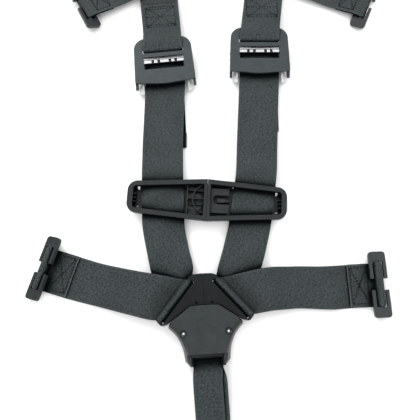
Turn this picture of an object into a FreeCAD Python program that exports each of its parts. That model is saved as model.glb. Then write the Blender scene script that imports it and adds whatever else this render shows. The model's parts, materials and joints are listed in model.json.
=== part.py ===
"""Five-point restraint harness, lying face down: webbing, buckle, tongues, chest clip, adjusters and anchors.

Millimetres. +X is across the wearer, +Y runs from the crotch strap up to the shoulder straps and +Z is
away from the surface that the harness lies on. The origin is on the front face of the buckle.
"""
import FreeCAD
import Part
import math
import os

V = FreeCAD.Vector

# Webbing
WEB = 1.4                      # thickness of one layer
STRAP_HALF = 19.0              # half width of the shoulder and hip straps
CROTCH_HALF = 12.2             # half width of the crotch strap
UPPER_HALF = 18.5              # half width of the two upper straps
ROLLER_STRAP_HALF = 18.1       # the strap is drawn in a little where it turns round the roller
LAYER_GAP = 0.1                # air between two layers that are sewn together
WRAP_GAP = 0.05                # air between the webbing and the bar that it goes round

# Buckle and tongues: local +y points at the tongues
BUCKLE_TURN = 3.8              # degrees about +Z
COVER_Z = 14.0                 # the seam between the front housing and the rear cover
BUCKLE_TOP = 20.0
SHELL = 2.0                    # wall of both shells
BLADE_Z = 11.0                 # middle plane of the steel blades
BLADE_THICK = 2.5
BLADE_TIP = -16.2
BLADE_INNER = 0.4              # each blade lies this far beside the centre line
BLADE_OUTER = 10.9
TONGUE_BAR_R = 2.5
TONGUE_LOW, TONGUE_HIGH = 6.6, 15.6
FOLD_TOP = V(8.1, 25.6, 0)     # ends of the line where the strap turns round the tongue's bar
FOLD_BOTTOM = V(35.3, -7.0, 0)
BUTTON_TRAVEL = 3.2
CROTCH_BAR_Y, CROTCH_BAR_R = -31.0, 2.4
SCREW_X, SCREW_Y = 18.8, -17.0
COVER_END = -34.6              # where the cover stops over the crotch strap
# Right halves of the buckle's outlines: neck, shoulder, corner, side, waist, ankle and foot
WIDE = ((12.0, 5.4), (31.6, -8.6), (32.0, -11.2), (22.8, -22.8), (19.8, -33.0), (19.0, -39.5), (14.6, -44.2))
SEAM = ((12.0, 5.4), (30.4, -8.0), (30.9, -10.2), (21.6, -21.2), (17.6, -33.0), (17.0, -39.5), (14.4, -44.0))
TOP = ((12.1, 5.0), (27.8, -6.2), (28.8, -8.4), (20.0, -18.0), (15.3, -33.0), (15.2, -39.0), (14.2, -43.6))
INSIDE = ((9.8, 4.0), (26.0, -8.6), (26.4, -9.6), (18.6, -19.0), (15.6, -31.0), (15.4, -37.0), (13.9, -41.0))

# Anchor plates
ANCHOR_HALF_LONG = 28.8
CROTCH_ANCHOR_HALF_LONG = 22.5
ANCHOR_HALF_WIDE = 7.5
ANCHOR_THICK = 3.2
ANCHOR_BAR_R = 2.25
ANCHOR_WINDOW = 4.6            # half width of the opening that the bar crosses
ANCHOR_GAP = 5.0               # half length of the gap between two fingers
ANCHOR_AXIS_Z = 5.25           # height of a hip anchor's bar
SEWN_LENGTH = 26.0
HEM_LENGTH = 13.0              # the folded and sewn end of a lower strap's tail
LEFT_HIP = (-142.0, 38.8, ANCHOR_AXIS_Z, -16.9)          # x, y, bar height, turn
RIGHT_HIP = (152.2, 24.6, ANCHOR_AXIS_Z, 182.6)
LEFT_SHOULDER = (-123.2, 304.0, 7.0, 28.0)
RIGHT_SHOULDER = (161.5, 307.6, 4.0, 156.5)
LEFT_HIP_TILT = -28.0          # turned about the bar: the side near the strap is raised
LEFT_SHOULDER_TILT = 30.0
RIGHT_SHOULDER_TILT = 8.0
SHOULDER_END_TILT = 8.0
CROTCH_ANCHOR = (0.0, -158.0, ANCHOR_AXIS_Z, 90.0)       # in the buckle's own frame

# Shoulder strap folds: ends of the line where the strap turns over, low end first
LEFT_FOLD = (V(-30.5, 331.8, 0), V(-71.3, 352.9, 0))
RIGHT_FOLD = (V(41.9, 337.1, 0), V(83.0, 360.9, 0))
FOLD_AXIS_Z, FOLD_R = 4.9, 2.6

# Adjusters: local origin at the middle of the window, +y towards the shoulder
LEFT_ADJUSTER = (-39.9, 236.5, 0.0, 6.0)
RIGHT_ADJUSTER = (52.15, 247.25, 0.0, 0.0)
PLATE_LOW, PLATE_HIGH = 11.2, 13.2
WINDOW_HALF_X, WINDOW_HALF_Y = 19.15, 6.45
SLOT_LOW, SLOT_HIGH = 10.6, 14.9
ROLLER_Y, ROLLER_Z, ROLLER_R = 2.9, 4.8, 2.3
ADJUSTER_WALL = (26.4, 28.9)   # inner and outer side of the plate's two side walls
PIN_R = 1.2
PIN_CLEARANCE = 0.05
LEVER_ARM = (20.9, 23.0)       # inner and outer side of the lever's two arms
LEVER_EYE_R = 2.8
NOTCHES = (-10.6, -4.8, 6.0, 11.5)

# Chest clip: local origin at the middle of the seam, +x towards the male half
CLIP = (1.6, 99.5, 0.0, -2.9)
CLIP_END, CLIP_END_HALF, CLIP_SEAM_HALF = 71.8, 14.3, 19.45
CLIP_HIGH, CLIP_FLOOR = 12.0, 2.2
CLIP_SLOT = (62.9, 4.9, 9.0)           # far end, low side and high side of the strap slots
FEMALE_SLOT_NEAR, MALE_SLOT_NEAR = 18.8, 20.0
CLIP_BUTTON_X = -11.5
PRONG = (9.3, 12.7, 3.6, 6.0)          # inner side, outer side, low side and high side

# The right strap is divided beside the chest clip, so that its middle can move with the male half
CUT_ABOVE, CUT_BELOW, CUT_GAP = 22.5, -22.5, 0.3


def box(x0, x1, y0, y1, z0, z1):
    return Part.makeBox(x1 - x0, y1 - y0, z1 - z0, V(x0, y0, z0))


def cylinder(radius, start, end):
    return Part.makeCylinder(radius, (end - start).Length, start, end - start)


def corner_arc(before, corner, after, radius):
    """Start, middle and end of the arc that rounds a corner, its centre, and +1 where it turns left."""
    u, v = (corner - before).normalize(), (after - corner).normalize()
    cross = u.x * v.y - u.y * v.x
    turn = math.atan2(abs(cross), u.x * v.x + u.y * v.y)
    reach = radius * math.tan(turn / 2)
    side = 1 if cross > 0 else -1
    start, end = corner - u * reach, corner + v * reach
    centre = start + V(-u.y, u.x, 0) * (side * radius)
    middle = centre + (corner - centre).normalize() * radius
    return start, middle, end, centre, side


def edge(*points):
    """A straight edge between two points or an arc through three. None where it has no length."""
    if (points[-1] - points[0]).Length < 1e-6:
        return None
    if len(points) == 3:
        return Part.Arc(*points).toShape()
    return Part.LineSegment(*points).toShape()


def outline(points):
    """A face inside a polygon. A point is (x, y), or (x, y, radius) where its corner is rounded."""
    corners = [V(p[0], p[1], 0) for p in points]
    edges, ends = [], []
    for i, p in enumerate(points):
        if len(p) == 2:
            ends.append((corners[i], corners[i]))
            continue
        after = corners[(i + 1) % len(points)]
        start, middle, end, _, _ = corner_arc(corners[i - 1], corners[i], after, p[2])
        ends.append((start, end))
        edges.append(edge(start, middle, end))
    for i in range(len(points)):
        edges.append(edge(ends[i - 1][1], ends[i][0]))
    return Part.Face(Part.Wire(Part.__sortEdges__([e for e in edges if e])))


def prism(points, low, high):
    face = outline(points)
    face.translate(V(0, 0, low))
    return face.extrude(V(0, 0, high - low))


def beside(points, shift):
    """The edges of an open line of points, moved sideways by shift. Its corners are rounded."""
    line = [V(p[0], p[1], 0) for p in points]
    first = (line[1] - line[0]).normalize()
    last = (line[-1] - line[-2]).normalize()
    here = line[0] + V(-first.y, first.x, 0) * shift
    edges = []
    for i in range(1, len(line) - 1):
        start, middle, end, centre, side = corner_arc(line[i - 1], line[i], line[i + 1], points[i][2])
        moved = [p + (centre - p).normalize() * (side * shift) for p in (start, middle, end)]
        edges += [edge(here, moved[0]), edge(*moved)]
        here = moved[2]
    end = line[-1] + V(-last.y, last.x, 0) * shift
    edges.append(edge(here, end))
    return [e for e in edges if e], line[0] + V(-first.y, first.x, 0) * shift, end


def ribbon(points, half, across="x", thick=WEB):
    """A strip of webbing. The points are its middle line, (along, height, corner radius), as seen from its edge."""
    left, left_start, left_end = beside(points, thick / 2)
    right, right_start, right_end = beside(points, -thick / 2)
    edges = left + right + [edge(left_start, right_start), edge(left_end, right_end)]
    solid = Part.Face(Part.Wire(Part.__sortEdges__(edges))).extrude(V(0, 0, 2 * half))
    solid.translate(V(0, 0, -half))
    if across == "x":
        turn = FreeCAD.Rotation(V(1, 1, 1), 120)
    else:
        turn = FreeCAD.Rotation(V(1, 0, 0), 90)
    return moved(solid, FreeCAD.Placement(V(0, 0, 0), turn))


def tapered(low_points, high_points, low, high):
    wires = []
    for points, z in ((low_points, low), (high_points, high)):
        face = outline(points)
        face.translate(V(0, 0, z))
        wires.append(face.OuterWire)
    return Part.makeLoft(wires, True, True)


def moved(shape, placement):
    return shape.transformGeometry(placement.toMatrix())


def placement(spot):
    x, y, z, turn = spot
    return FreeCAD.Placement(V(x, y, z), FreeCAD.Rotation(V(0, 0, 1), turn))


def placed(shape, spot):
    copy = shape.copy()
    copy.Placement = placement(spot).multiply(copy.Placement)
    return copy


def spot_point(spot, x, y):
    p = placement(spot).multVec(V(x, y, 0))
    return (p.x, p.y)


def in_buckle(shape):
    return placed(shape, (0, 0, 0, BUCKLE_TURN))


def mirrored(shape):
    return shape.mirror(V(0, 0, 0), V(1, 0, 0))


def joined(*shapes):
    solid = shapes[0].fuse(list(shapes[1:])).removeSplitter()
    return solid.Solids[0] if len(solid.Solids) == 1 else solid


def save(name, shape):
    if len(shape.Solids) < 1 or not shape.isValid():
        print("CHECK", name, "solids", len(shape.Solids), "valid", shape.isValid())
    print(f"{name:32s} solids {len(shape.Solids)} volume {shape.Volume:9.1f}")
    shape.exportStep(f"parts/{name}.step")


def coil(radius, wire, turns, start, direction):
    """A compression spring: rings of wire on a helix."""
    pitch = direction.Length / turns
    helix = Part.makeHelix(pitch, direction.Length, radius)
    section = Part.Wire(Part.makeCircle(wire, V(radius, 0, 0), V(0, 1, 0)))
    spring = Part.Wire(helix).makePipeShell([section], True, True)
    turn = FreeCAD.Rotation(V(0, 0, 1), direction)
    return placed_at(spring, start, turn)


def placed_at(shape, start, rotation):
    copy = shape.copy()
    copy.Placement = FreeCAD.Placement(start, rotation).multiply(copy.Placement)
    return copy


# ---------------------------------------------------------------- anchors

def anchor_plate(half_long):
    """A flat steel H with a round bar across its middle. The bar is along y and the strap leaves along +x."""
    strap_half = half_long - 10.3
    half = ANCHOR_THICK / 2
    wide, long = ANCHOR_HALF_WIDE, half_long
    plate = prism([(-wide, -long, 3), (wide, -long, 3), (wide, long, 3), (-wide, long, 3)], -half, half)
    window = strap_half + 1.2
    plate = plate.cut(box(-ANCHOR_WINDOW, ANCHOR_WINDOW, -window, window, -half, half))
    for x0, x1 in ((-wide, -ANCHOR_WINDOW), (ANCHOR_WINDOW, wide)):
        plate = plate.cut(box(x0, x1, -ANCHOR_GAP, ANCHOR_GAP, -half, half))
    reach = window + 1.0
    return joined(plate, cylinder(ANCHOR_BAR_R, V(0, -reach, 0), V(0, reach, 0)))


def strap_end(strap_half, flipped=False):
    """The sewn loop round an anchor's bar: a ring, and two layers below the plate's inner finger."""
    inner = ANCHOR_BAR_R + WRAP_GAP * 2
    outer = inner + WEB
    top = -ANCHOR_AXIS_Z + 2 * WEB
    layers = prism([(0, -inner - 0.3), (2.6, top), (SEWN_LENGTH, top), (SEWN_LENGTH, -ANCHOR_AXIS_Z),
                    (6.0, -ANCHOR_AXIS_Z), (0, -outer + 0.3)], -strap_half, strap_half)
    layers = moved(layers, FreeCAD.Placement(V(0, 0, 0), FreeCAD.Rotation(V(1, 0, 0), 90)))
    low, high = V(0, -strap_half, 0), V(0, strap_half, 0)
    ring = cylinder(outer, low, high).cut(cylinder(inner, low, high))
    loop = joined(ring, layers)
    return loop.mirror(V(0, 0, 0), V(0, 0, 1)) if flipped else loop


# ---------------------------------------------------------------- tongues

def fold_frame():
    along = (FOLD_BOTTOM - FOLD_TOP).normalize()
    return along, V(-along.y, along.x, 0), (FOLD_BOTTOM - FOLD_TOP).Length


def fold_box(f0, f1, n0, n1, z0, z1):
    """A box beside the fold line of the right tongue: f runs down the line and n away from the centre."""
    along, out, _ = fold_frame()
    corners = [FOLD_TOP + along * f + out * n for f, n in ((f0, n0), (f1, n0), (f1, n1), (f0, n1))]
    return prism([(c.x, c.y) for c in corners], z0, z1)


def tongue_shape(inset):
    """The outline of the right tongue's body, and what its slot leaves of it."""
    return [(0.12 + inset, 6.3 + inset), (0.12 + inset, 32.8 - inset), (8.6, 32.4 - inset, 8),
            (12.4 - inset, 30.4 - inset, 1.2), (42.6 - inset, -3.4, 3.4), (37.6, -9.6 + inset, 3.0),
            (33.2 - inset, -8.3 + inset), (12.4, 6.2 + inset)]


def tongue_bar(grow=0.0):
    along, out, length = fold_frame()
    middle = FOLD_TOP + out * (TONGUE_BAR_R + WRAP_GAP + WEB) + V(0, 0, BLADE_Z)
    return cylinder(TONGUE_BAR_R + grow, middle - along * 1.8, middle + along * (length + 1.8))


def right_tongue():
    """The steel blade with its strap bar, and the plastic moulded over it."""
    _, _, length = fold_frame()
    low, high = BLADE_Z - BLADE_THICK / 2, BLADE_Z + BLADE_THICK / 2
    slot = fold_box(-0.7, length + 0.7, -0.15, 30, 0, 30)
    neck = prism([(BLADE_INNER, BLADE_TIP, 1), (BLADE_OUTER, BLADE_TIP, 4), (BLADE_OUTER, 9), (BLADE_INNER, 9)],
                 low, high)
    window = prism([(3.2, -10.5, 1), (8.9, -10.5, 1), (8.9, -5.5, 1), (3.2, -5.5, 1)], low, high)
    core = prism(tongue_shape(2.2), low, high).cut(slot)
    blade = joined(neck.cut(window), core, tongue_bar())
    mould = prism(tongue_shape(0.0), TONGUE_LOW, TONGUE_HIGH).cut(slot)
    mould = mould.cut(fold_box(-20, 0.2, 0.4, 30, 0, BLADE_Z - TONGUE_BAR_R + 0.2))
    mould = mould.cut(fold_box(length - 0.2, length + 20, 0.4, 30, BLADE_Z + TONGUE_BAR_R - 0.05, 30))
    mould = mould.cut(cylinder(1.1, V(6.7, 7.9, 12.6), V(6.7, 7.9, 20)))
    return blade, mould.cut(blade)


# ---------------------------------------------------------------- buckle

def shield(neck, shoulder, corner, middle, waist, ankle, foot):
    """The buckle's outline from its right half: wide at its shoulders, waisted below and square at its foot."""
    right = [V(x, y, 0) for x, y in (neck, shoulder, corner, middle, waist, ankle, foot)]
    left = [V(-p.x, p.y, 0) for p in right]
    edges = [edge(left[0], V(0, neck[1] + 0.5, 0), right[0]), edge(right[6], left[6])]
    for side in (right, left):
        edges += [edge(side[0], side[1]), edge(side[1], side[2]), edge(side[2], side[3], side[4]),
                  edge(side[4], side[5]), edge(side[5], side[6])]
    return Part.Wire(Part.__sortEdges__(edges))


def slab_of(wire, low, high):
    face = Part.Face(wire)
    face.translate(V(0, 0, low))
    return face.extrude(V(0, 0, high - low))


def flared(low_wire, high_wire, low, high):
    a, b = low_wire.copy(), high_wire.copy()
    a.translate(V(0, 0, low))
    b.translate(V(0, 0, high))
    return Part.makeLoft([a, b], True, True)


def crotch_mouth(low, high):
    """The way out of the buckle for the crotch strap, between the two cheeks."""
    return box(-13.4, 13.4, -50, -26, low, high)


def buckle_housing():
    """The front shell: a floor on the front face, walls, screw bosses, and the hole for the button."""
    shell = joined(slab_of(shield(*WIDE), 0, 5), flared(shield(*WIDE), shield(*SEAM), 5, COVER_Z))
    hollow = slab_of(shield(*INSIDE), SHELL, COVER_Z).common(box(-40, 40, -45, 3.2, 0, 30))
    shell = shell.cut(hollow)
    for x in (-SCREW_X, SCREW_X):
        boss = cylinder(2.6, V(x, SCREW_Y, 1), V(x, SCREW_Y, COVER_Z))
        boss = boss.common(slab_of(shield(*SEAM), 0, COVER_Z))
        shell = joined(shell, boss).cut(cylinder(1.3, V(x, SCREW_Y, 6), V(x, SCREW_Y, COVER_Z)))
    shell = shell.cut(box(-11.9, 11.9, 0, 8, 9.2, COVER_Z))
    shell = shell.cut(crotch_mouth(5.4, COVER_Z))
    button_hole = prism([(-11.2, -37.7, 4), (11.2, -37.7, 4), (11.2, -13.0, 4), (-11.2, -13.0, 4)], 0, SHELL)
    return shell.cut(button_hole)


def buckle_cover():
    """The rear shell. Its sides slope in, and its lower end is cut back over the crotch strap."""
    base, top = shield(*SEAM), shield(*TOP)
    full = joined(flared(base, base, COVER_Z, COVER_Z + 0.8), flared(base, top, COVER_Z + 0.8, BUCKLE_TOP))
    cheeks = full.common(box(-40, 40, -50, COVER_END + 0.5, COVER_Z, COVER_Z + 2.6))
    cheeks = cheeks.cut(crotch_mouth(0, 30))
    shell = full.common(box(-40, 40, COVER_END, 10, 0, 30))
    hollow = slab_of(shield(*INSIDE), COVER_Z, BUCKLE_TOP - SHELL)
    hollow = hollow.common(box(-40, 40, COVER_END + 2.2, 3.2, 0, 30))
    shell = shell.cut(hollow)
    shell = shell.cut(box(-13.4, 13.4, -40, -30, COVER_Z, 16.0))
    for x in (-SCREW_X, SCREW_X):
        column = cylinder(3.6, V(x, SCREW_Y, COVER_Z), V(x, SCREW_Y, BUCKLE_TOP)).common(full)
        shell = joined(shell, column)
        shell = shell.cut(cylinder(2.9, V(x, SCREW_Y, 17.0), V(x, SCREW_Y, 30)))
        shell = shell.cut(cylinder(1.35, V(x, SCREW_Y, 10), V(x, SCREW_Y, 20)))
    return joined(shell, cheeks)


def cover_screws():
    screws = []
    for x in (-SCREW_X, SCREW_X):
        head = cylinder(2.3, V(x, SCREW_Y, 17.0), V(x, SCREW_Y, 19.0))
        head = head.cut(cylinder(0.9, V(x, SCREW_Y, 18.1), V(x, SCREW_Y, 19.0)))
        screws.append(joined(head, cylinder(1.3, V(x, SCREW_Y, 6.5), V(x, SCREW_Y, 17.0))))
    return Part.makeCompound(screws)


def buckle_frame():
    """The steel frame over the blades, with the bar that carries the crotch strap."""
    plate = prism([(-15, -33.6, 2), (15, -33.6, 2), (15, -9, 3), (11.4, 2.8), (-11.4, 2.8), (-15, -9, 3)],
                  12.4, 13.8)
    plate = plate.cut(box(-13.2, 13.2, -34, -25.6, 12, 14))
    ears = [box(s * 14.1 - 0.9, s * 14.1 + 0.9, -33.6, -28.4, 9.0, 12.6) for s in (-1, 1)]
    bar = cylinder(CROTCH_BAR_R, V(-15, CROTCH_BAR_Y, BLADE_Z), V(15, CROTCH_BAR_Y, BLADE_Z))
    return joined(plate, bar, *ears)


def latch_leaf():
    """The spring-steel leaf under the blades: its two hooks stand in the blades' windows."""
    leaf = prism([(-8.6, -24, 1), (8.6, -24, 1), (8.6, -5.9, 1), (-8.6, -5.9, 1)], 6.6, 7.6)
    hooks = [box(s * 6.0 - 2.2, s * 6.0 + 2.2, -7.6, -5.9, 7.4, 11.6) for s in (-1, 1)]
    feet = [box(s * 7.2 - 1.2, s * 7.2 + 1.2, -24, -22, SHELL + 2.4, 6.8) for s in (-1, 1)]
    return joined(leaf, *hooks, *feet)


def release_button():
    """The push button in the front face. It stands a little below the face, with a stud under the leaf."""
    face = prism([(-10.9, -37.4, 3.7), (10.9, -37.4, 3.7), (10.9, -13.3, 3.7), (-10.9, -13.3, 3.7)], 0.6, 2.2)
    lip = prism([(-12.2, -36.0, 2), (12.2, -36.0, 2), (12.2, -12.0, 2), (-12.2, -12.0, 2)], 2.1, 3.1)
    stud = box(-4.0, 4.0, -19.0, -15.0, 3.0, 6.0)
    dish = Part.makeSphere(60, V(0, -25.3, -59.1))
    return joined(face, lip, stud).cut(dish)


def ejector():
    slider = prism([(-10.4, -20.6, 1), (10.4, -20.6, 1), (10.4, -16.4, 1), (-10.4, -16.4, 1)], 9.6, 12.2)
    return slider


def ejector_springs():
    springs = [coil(1.1, 0.25, 4, V(s * 6.2, -26.6, 10.9), V(0, 5.7, 0)) for s in (-1, 1)]
    return Part.makeCompound(springs)


def drift_plan(drift, end):
    """The outline of a crotch strap layer that drifts sideways by three amounts, on its way to its end."""
    stops = ((-20, 0.0), (-45, drift[0]), (-54, drift[1]), (-88, drift[2]), (end + 14, 0.0), (end - 10, 0.0))
    left = [(x - CROTCH_HALF, y) for y, x in stops]
    right = [(x + CROTCH_HALF, y) for y, x in stops]
    return left + right[::-1]


def crotch_webbing():
    """Two layers that go round the frame's bar, lie together and end in a sewn loop."""
    wrap = CROTCH_BAR_R + WRAP_GAP + WEB / 2
    near_z, far_z = BLADE_Z + wrap, BLADE_Z - wrap
    sewn_start = CROTCH_ANCHOR[1] + SEWN_LENGTH
    near = ribbon([(CROTCH_BAR_Y, near_z), (-50, 14.1, 20), (-84, 7.6, 60), (-106, 2.7, 40), (-120, 2.1, 60),
                   (sewn_start - 4, 2.1)], CROTCH_HALF + 10)
    far = ribbon([(CROTCH_BAR_Y, far_z), (-42.5, far_z, 6), (-52, 12.0, 6), (-84, 6.1, 60), (-106, 1.2, 40),
                  (-120, 0.7, 60), (sewn_start - 4, 0.7)], CROTCH_HALF + 10)
    near = near.common(prism(drift_plan((0.0, -1.2, -0.8), sewn_start), -5, 30))
    far = far.common(prism(drift_plan((0.0, 2.9, 3.1), sewn_start), -5, 30))
    low, high = V(-CROTCH_HALF, CROTCH_BAR_Y, BLADE_Z), V(CROTCH_HALF, CROTCH_BAR_Y, BLADE_Z)
    ring = cylinder(wrap + WEB / 2, low, high).cut(cylinder(wrap - WEB / 2, low, high))
    ring = ring.common(box(-20, 20, CROTCH_BAR_Y - 0.5, 0, 0, 30))
    return joined(near, far, ring, placed(strap_end(CROTCH_HALF), CROTCH_ANCHOR))


# ---------------------------------------------------------------- adjusters

def adjuster_plate():
    """A stamped plate with two side walls turned down, a window and a slot for the upper strap."""
    top = prism([(-28.8, -19.6, 1), (0, -22.6, 90), (28.8, -19.6, 1), (27.4, 26.5, 11), (-27.4, 26.5, 11)],
                PLATE_LOW, PLATE_HIGH)
    sides = prism([(-29.0, -30), (29.0, -30), (27.5, 24), (-27.5, 24)], 0, PLATE_HIGH)
    inner, outer = ADJUSTER_WALL
    walls = []
    for s in (-1, 1):
        x0, x1 = sorted((s * inner, s * outer))
        side = prism([(-24.2, 5.6, 1.2), (-18.0, 3.4, 2), (15.0, 3.4, 4), (15.0, PLATE_LOW + 0.5),
                      (-19.8, PLATE_LOW + 0.5), (-21.0, 9.8, 1), (-24.2, 9.8, 1.2)], x0, x1)
        side = moved(side, FreeCAD.Placement(V(0, 0, 0), FreeCAD.Rotation(V(1, 1, 1), 120)))
        walls.append(side.common(sides))
    body = joined(top, *walls)
    half_x, half_y = WINDOW_HALF_X, WINDOW_HALF_Y
    window = prism([(-half_x, -half_y, 0.6), (half_x, -half_y, 0.6),
                    (half_x, half_y, 0.6), (-half_x, half_y, 0.6)], PLATE_LOW, PLATE_HIGH)
    slot = prism([(-19.6, SLOT_LOW, 1), (19.6, SLOT_LOW, 1), (19.6, SLOT_HIGH, 0.3), (-19.6, SLOT_HIGH, 0.3)],
                 PLATE_LOW, PLATE_HIGH)
    holes = cylinder(PIN_R, V(-40, ROLLER_Y, ROLLER_Z + 1.8), V(40, ROLLER_Y, ROLLER_Z + 1.8))
    return body.cut(window).cut(slot).cut(holes.translated(V(0, 0, -1.8)))


def adjuster_bar():
    """The plated clamping bar just under the window: a lip, a groove, and a notched face."""
    reach = ADJUSTER_WALL[0]
    bar = box(-reach, reach, 0.6, 5.0, 9.0, PLATE_LOW).cut(box(-reach, reach, 3.8, 4.2, 10.2, PLATE_LOW))
    for x in NOTCHES:
        bar = bar.cut(box(x - 0.8, x + 0.8, 1.5, 4.0, 9.8, PLATE_LOW))
    return bar


def adjuster_lever():
    """The release lever: a roller inside the strap's loop, two arms beside the strap and a lug on each."""
    inner, outer = LEVER_ARM
    pieces = [cylinder(ROLLER_R, V(-outer, ROLLER_Y, ROLLER_Z), V(outer, ROLLER_Y, ROLLER_Z))]
    for s in (-1, 1):
        x0, x1 = sorted((s * inner, s * outer))
        arm = prism([(ROLLER_Y, ROLLER_Z - LEVER_EYE_R), (ROLLER_Y, ROLLER_Z + LEVER_EYE_R),
                     (-19, 7.6), (-23, 6.0), (-23, 3.0)], x0, x1)
        pieces.append(moved(arm, FreeCAD.Placement(V(0, 0, 0), FreeCAD.Rotation(V(1, 1, 1), 120))))
        pieces.append(cylinder(LEVER_EYE_R, V(x0, ROLLER_Y, ROLLER_Z), V(x1, ROLLER_Y, ROLLER_Z)))
        lug = [(s * inner, -28.0), (s * 22.0, -28.2, 1), (s * 25.4, -26.8, 2.2), (s * 25.4, -20.6, 2.2),
               (s * 22.0, -19.2, 1), (s * inner, -19.4)]
        pieces.append(prism(lug, 2.8, 5.9))
    bore = cylinder(PIN_R + PIN_CLEARANCE, V(-40, ROLLER_Y, ROLLER_Z), V(40, ROLLER_Y, ROLLER_Z))
    return joined(*pieces).cut(bore)


def adjuster_pin():
    end = ADJUSTER_WALL[1] - 0.5
    return cylinder(PIN_R, V(-end, ROLLER_Y, ROLLER_Z), V(end, ROLLER_Y, ROLLER_Z))


def lever_springs():
    """A small torsion spring round the pin at each end, between the lever and the wall."""
    springs = [coil(1.75, 0.3, 3, V(s * 23.5, ROLLER_Y, ROLLER_Z), V(s * 2.3, 0, 0)) for s in (-1, 1)]
    return Part.makeCompound(springs)


def upper_strap(adjuster, fold, anchor, left_edge, right_edge):
    """A shoulder strap from the adjuster's top bar, up to its fold and back down to its anchor."""
    mid_top, mid_low = PLATE_HIGH + 0.8, PLATE_LOW - 0.8
    near = SLOT_HIGH - 0.1 - WEB / 2
    low_z = FOLD_AXIS_Z - FOLD_R
    run = ribbon([(68.5, 6.6), (42, 9.6, 30), (28.5, mid_top, 8), (near, mid_top, 1.0), (near, mid_low, 1.0),
                  (27, mid_low, 20), (42, 8.1, 20), (68.5, 5.1, 40), (90, low_z, 40), (150, low_z)], 60)
    start, end = fold
    right_end, left_end = sorted((start, end), key=lambda p: -p.x)
    plan = [spot_point(adjuster, x, y) for x, y in right_edge] + [(right_end.x, right_end.y)]
    plan += [(left_end.x, left_end.y)] + [spot_point(adjuster, x, y) for x, y in left_edge[::-1]]
    run = placed(run, adjuster).common(prism(plan, -5, 40))
    return joined(run, fold_roll(start, end), second_run(start, end, anchor))


def fold_roll(start, end):
    """Half a tube along the line where a strap turns over, on the side away from the strap."""
    along = (end - start).normalize()
    out = V(-along.y, along.x, 0)
    if out.y < 0:
        out = out * -1
    low, high = start + V(0, 0, FOLD_AXIS_Z), end + V(0, 0, FOLD_AXIS_Z)
    tube = cylinder(FOLD_R + WEB / 2, low, high).cut(cylinder(FOLD_R - WEB / 2, low, high))
    keep = [start, end, end + out * 9, start + out * 9]
    return tube.common(prism([(p.x, p.y) for p in keep], -5, 30))


def second_run(start, end, anchor):
    """The strap from its fold down to its anchor, above the first run."""
    lift = ANCHOR_AXIS_Z - WEB / 2
    slope = math.tan(math.radians(SHOULDER_END_TILT))
    fold_z = FOLD_AXIS_Z + FOLD_R - anchor[2]
    reach = (V(*spot_point(anchor, 0, 0), 0) - (start + end) * 0.5).Length
    near_end, bend = SEWN_LENGTH - 6, SEWN_LENGTH + 8
    run = ribbon([(near_end, lift - near_end * slope), (bend, lift - bend * slope, 60),
                  (reach - 14, fold_z, 60), (reach + 40, fold_z)], 60, "y")
    low_end, high_end = sorted((start, end), key=lambda p: p.y)
    near = [spot_point(anchor, SEWN_LENGTH - 6, y) for y in (-UPPER_HALF, UPPER_HALF)]
    near.sort(key=lambda p: p[1])
    plan = [near[0], (low_end.x, low_end.y), (high_end.x, high_end.y), near[1]]
    strip = placed(run, anchor).common(prism(plan, -5, 40))
    sewn = tilted(strap_end(UPPER_HALF, True), SHOULDER_END_TILT)
    return joined(strip, placed(sewn, anchor))


# ---------------------------------------------------------------- chest clip

def clip_outline(sign, inset):
    """The outline of one half of the chest clip, square at the seam and rounded at its far end."""
    end, end_half, seam_half = CLIP_END - inset, CLIP_END_HALF - inset, CLIP_SEAM_HALF - inset
    return [(sign * 0.12, seam_half), (sign * end, end_half, 9 - inset / 2), (sign * end, -end_half, 9 - inset / 2),
            (sign * 0.12, -seam_half)]


def clip_pocket(sign, inset):
    return [(sign * 2.8, 15.0 - inset, 1), (sign * 66.9, 10.3 - inset, 3), (sign * 66.9, inset - 10.3, 3),
            (sign * 2.8, inset - 15.0, 1)]


def clip_shell(sign, slot_near):
    """One half of the chest clip: a tray with strap slots through both long walls."""
    tray = tapered(clip_outline(sign, 3.2), clip_outline(sign, 0.4), 0, 9)
    shell = joined(tray, prism(clip_outline(sign, 0.0), 8.8, CLIP_HIGH))
    shell = shell.cut(tapered(clip_pocket(sign, 1.6), clip_pocket(sign, 0.0), CLIP_FLOOR, CLIP_HIGH))
    far, low, high = CLIP_SLOT
    x0, x1 = sorted((sign * slot_near, sign * far))
    shell = shell.cut(box(x0, x1, -30, 30, low, high))
    for x, y in ((62.9, 11.2), (23.4, 16.3)):
        for side in (-1, 1):
            y0, y1 = sorted((side * (y - 2.2), side * (y + 3.5)))
            x0, x1 = sorted((sign * (x - 1.1), sign * (x + 1.1)))
            shell = shell.cut(box(x0, x1, y0, y1, -1, high))
    for x, y in ((63.2, -6.3), (21.8, -12.2)):
        shell = shell.cut(cylinder(1.2, V(sign * x, y, -1), V(sign * x, y, CLIP_FLOOR + 1)))
    for y in (-3.6, 0, 3.6):
        x0, x1 = sorted((sign * 64.6, sign * 67.2))
        shell = joined(shell, box(x0, x1, y - 0.5, y + 0.5, CLIP_FLOOR - 0.2, 9.0))
    return shell


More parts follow.
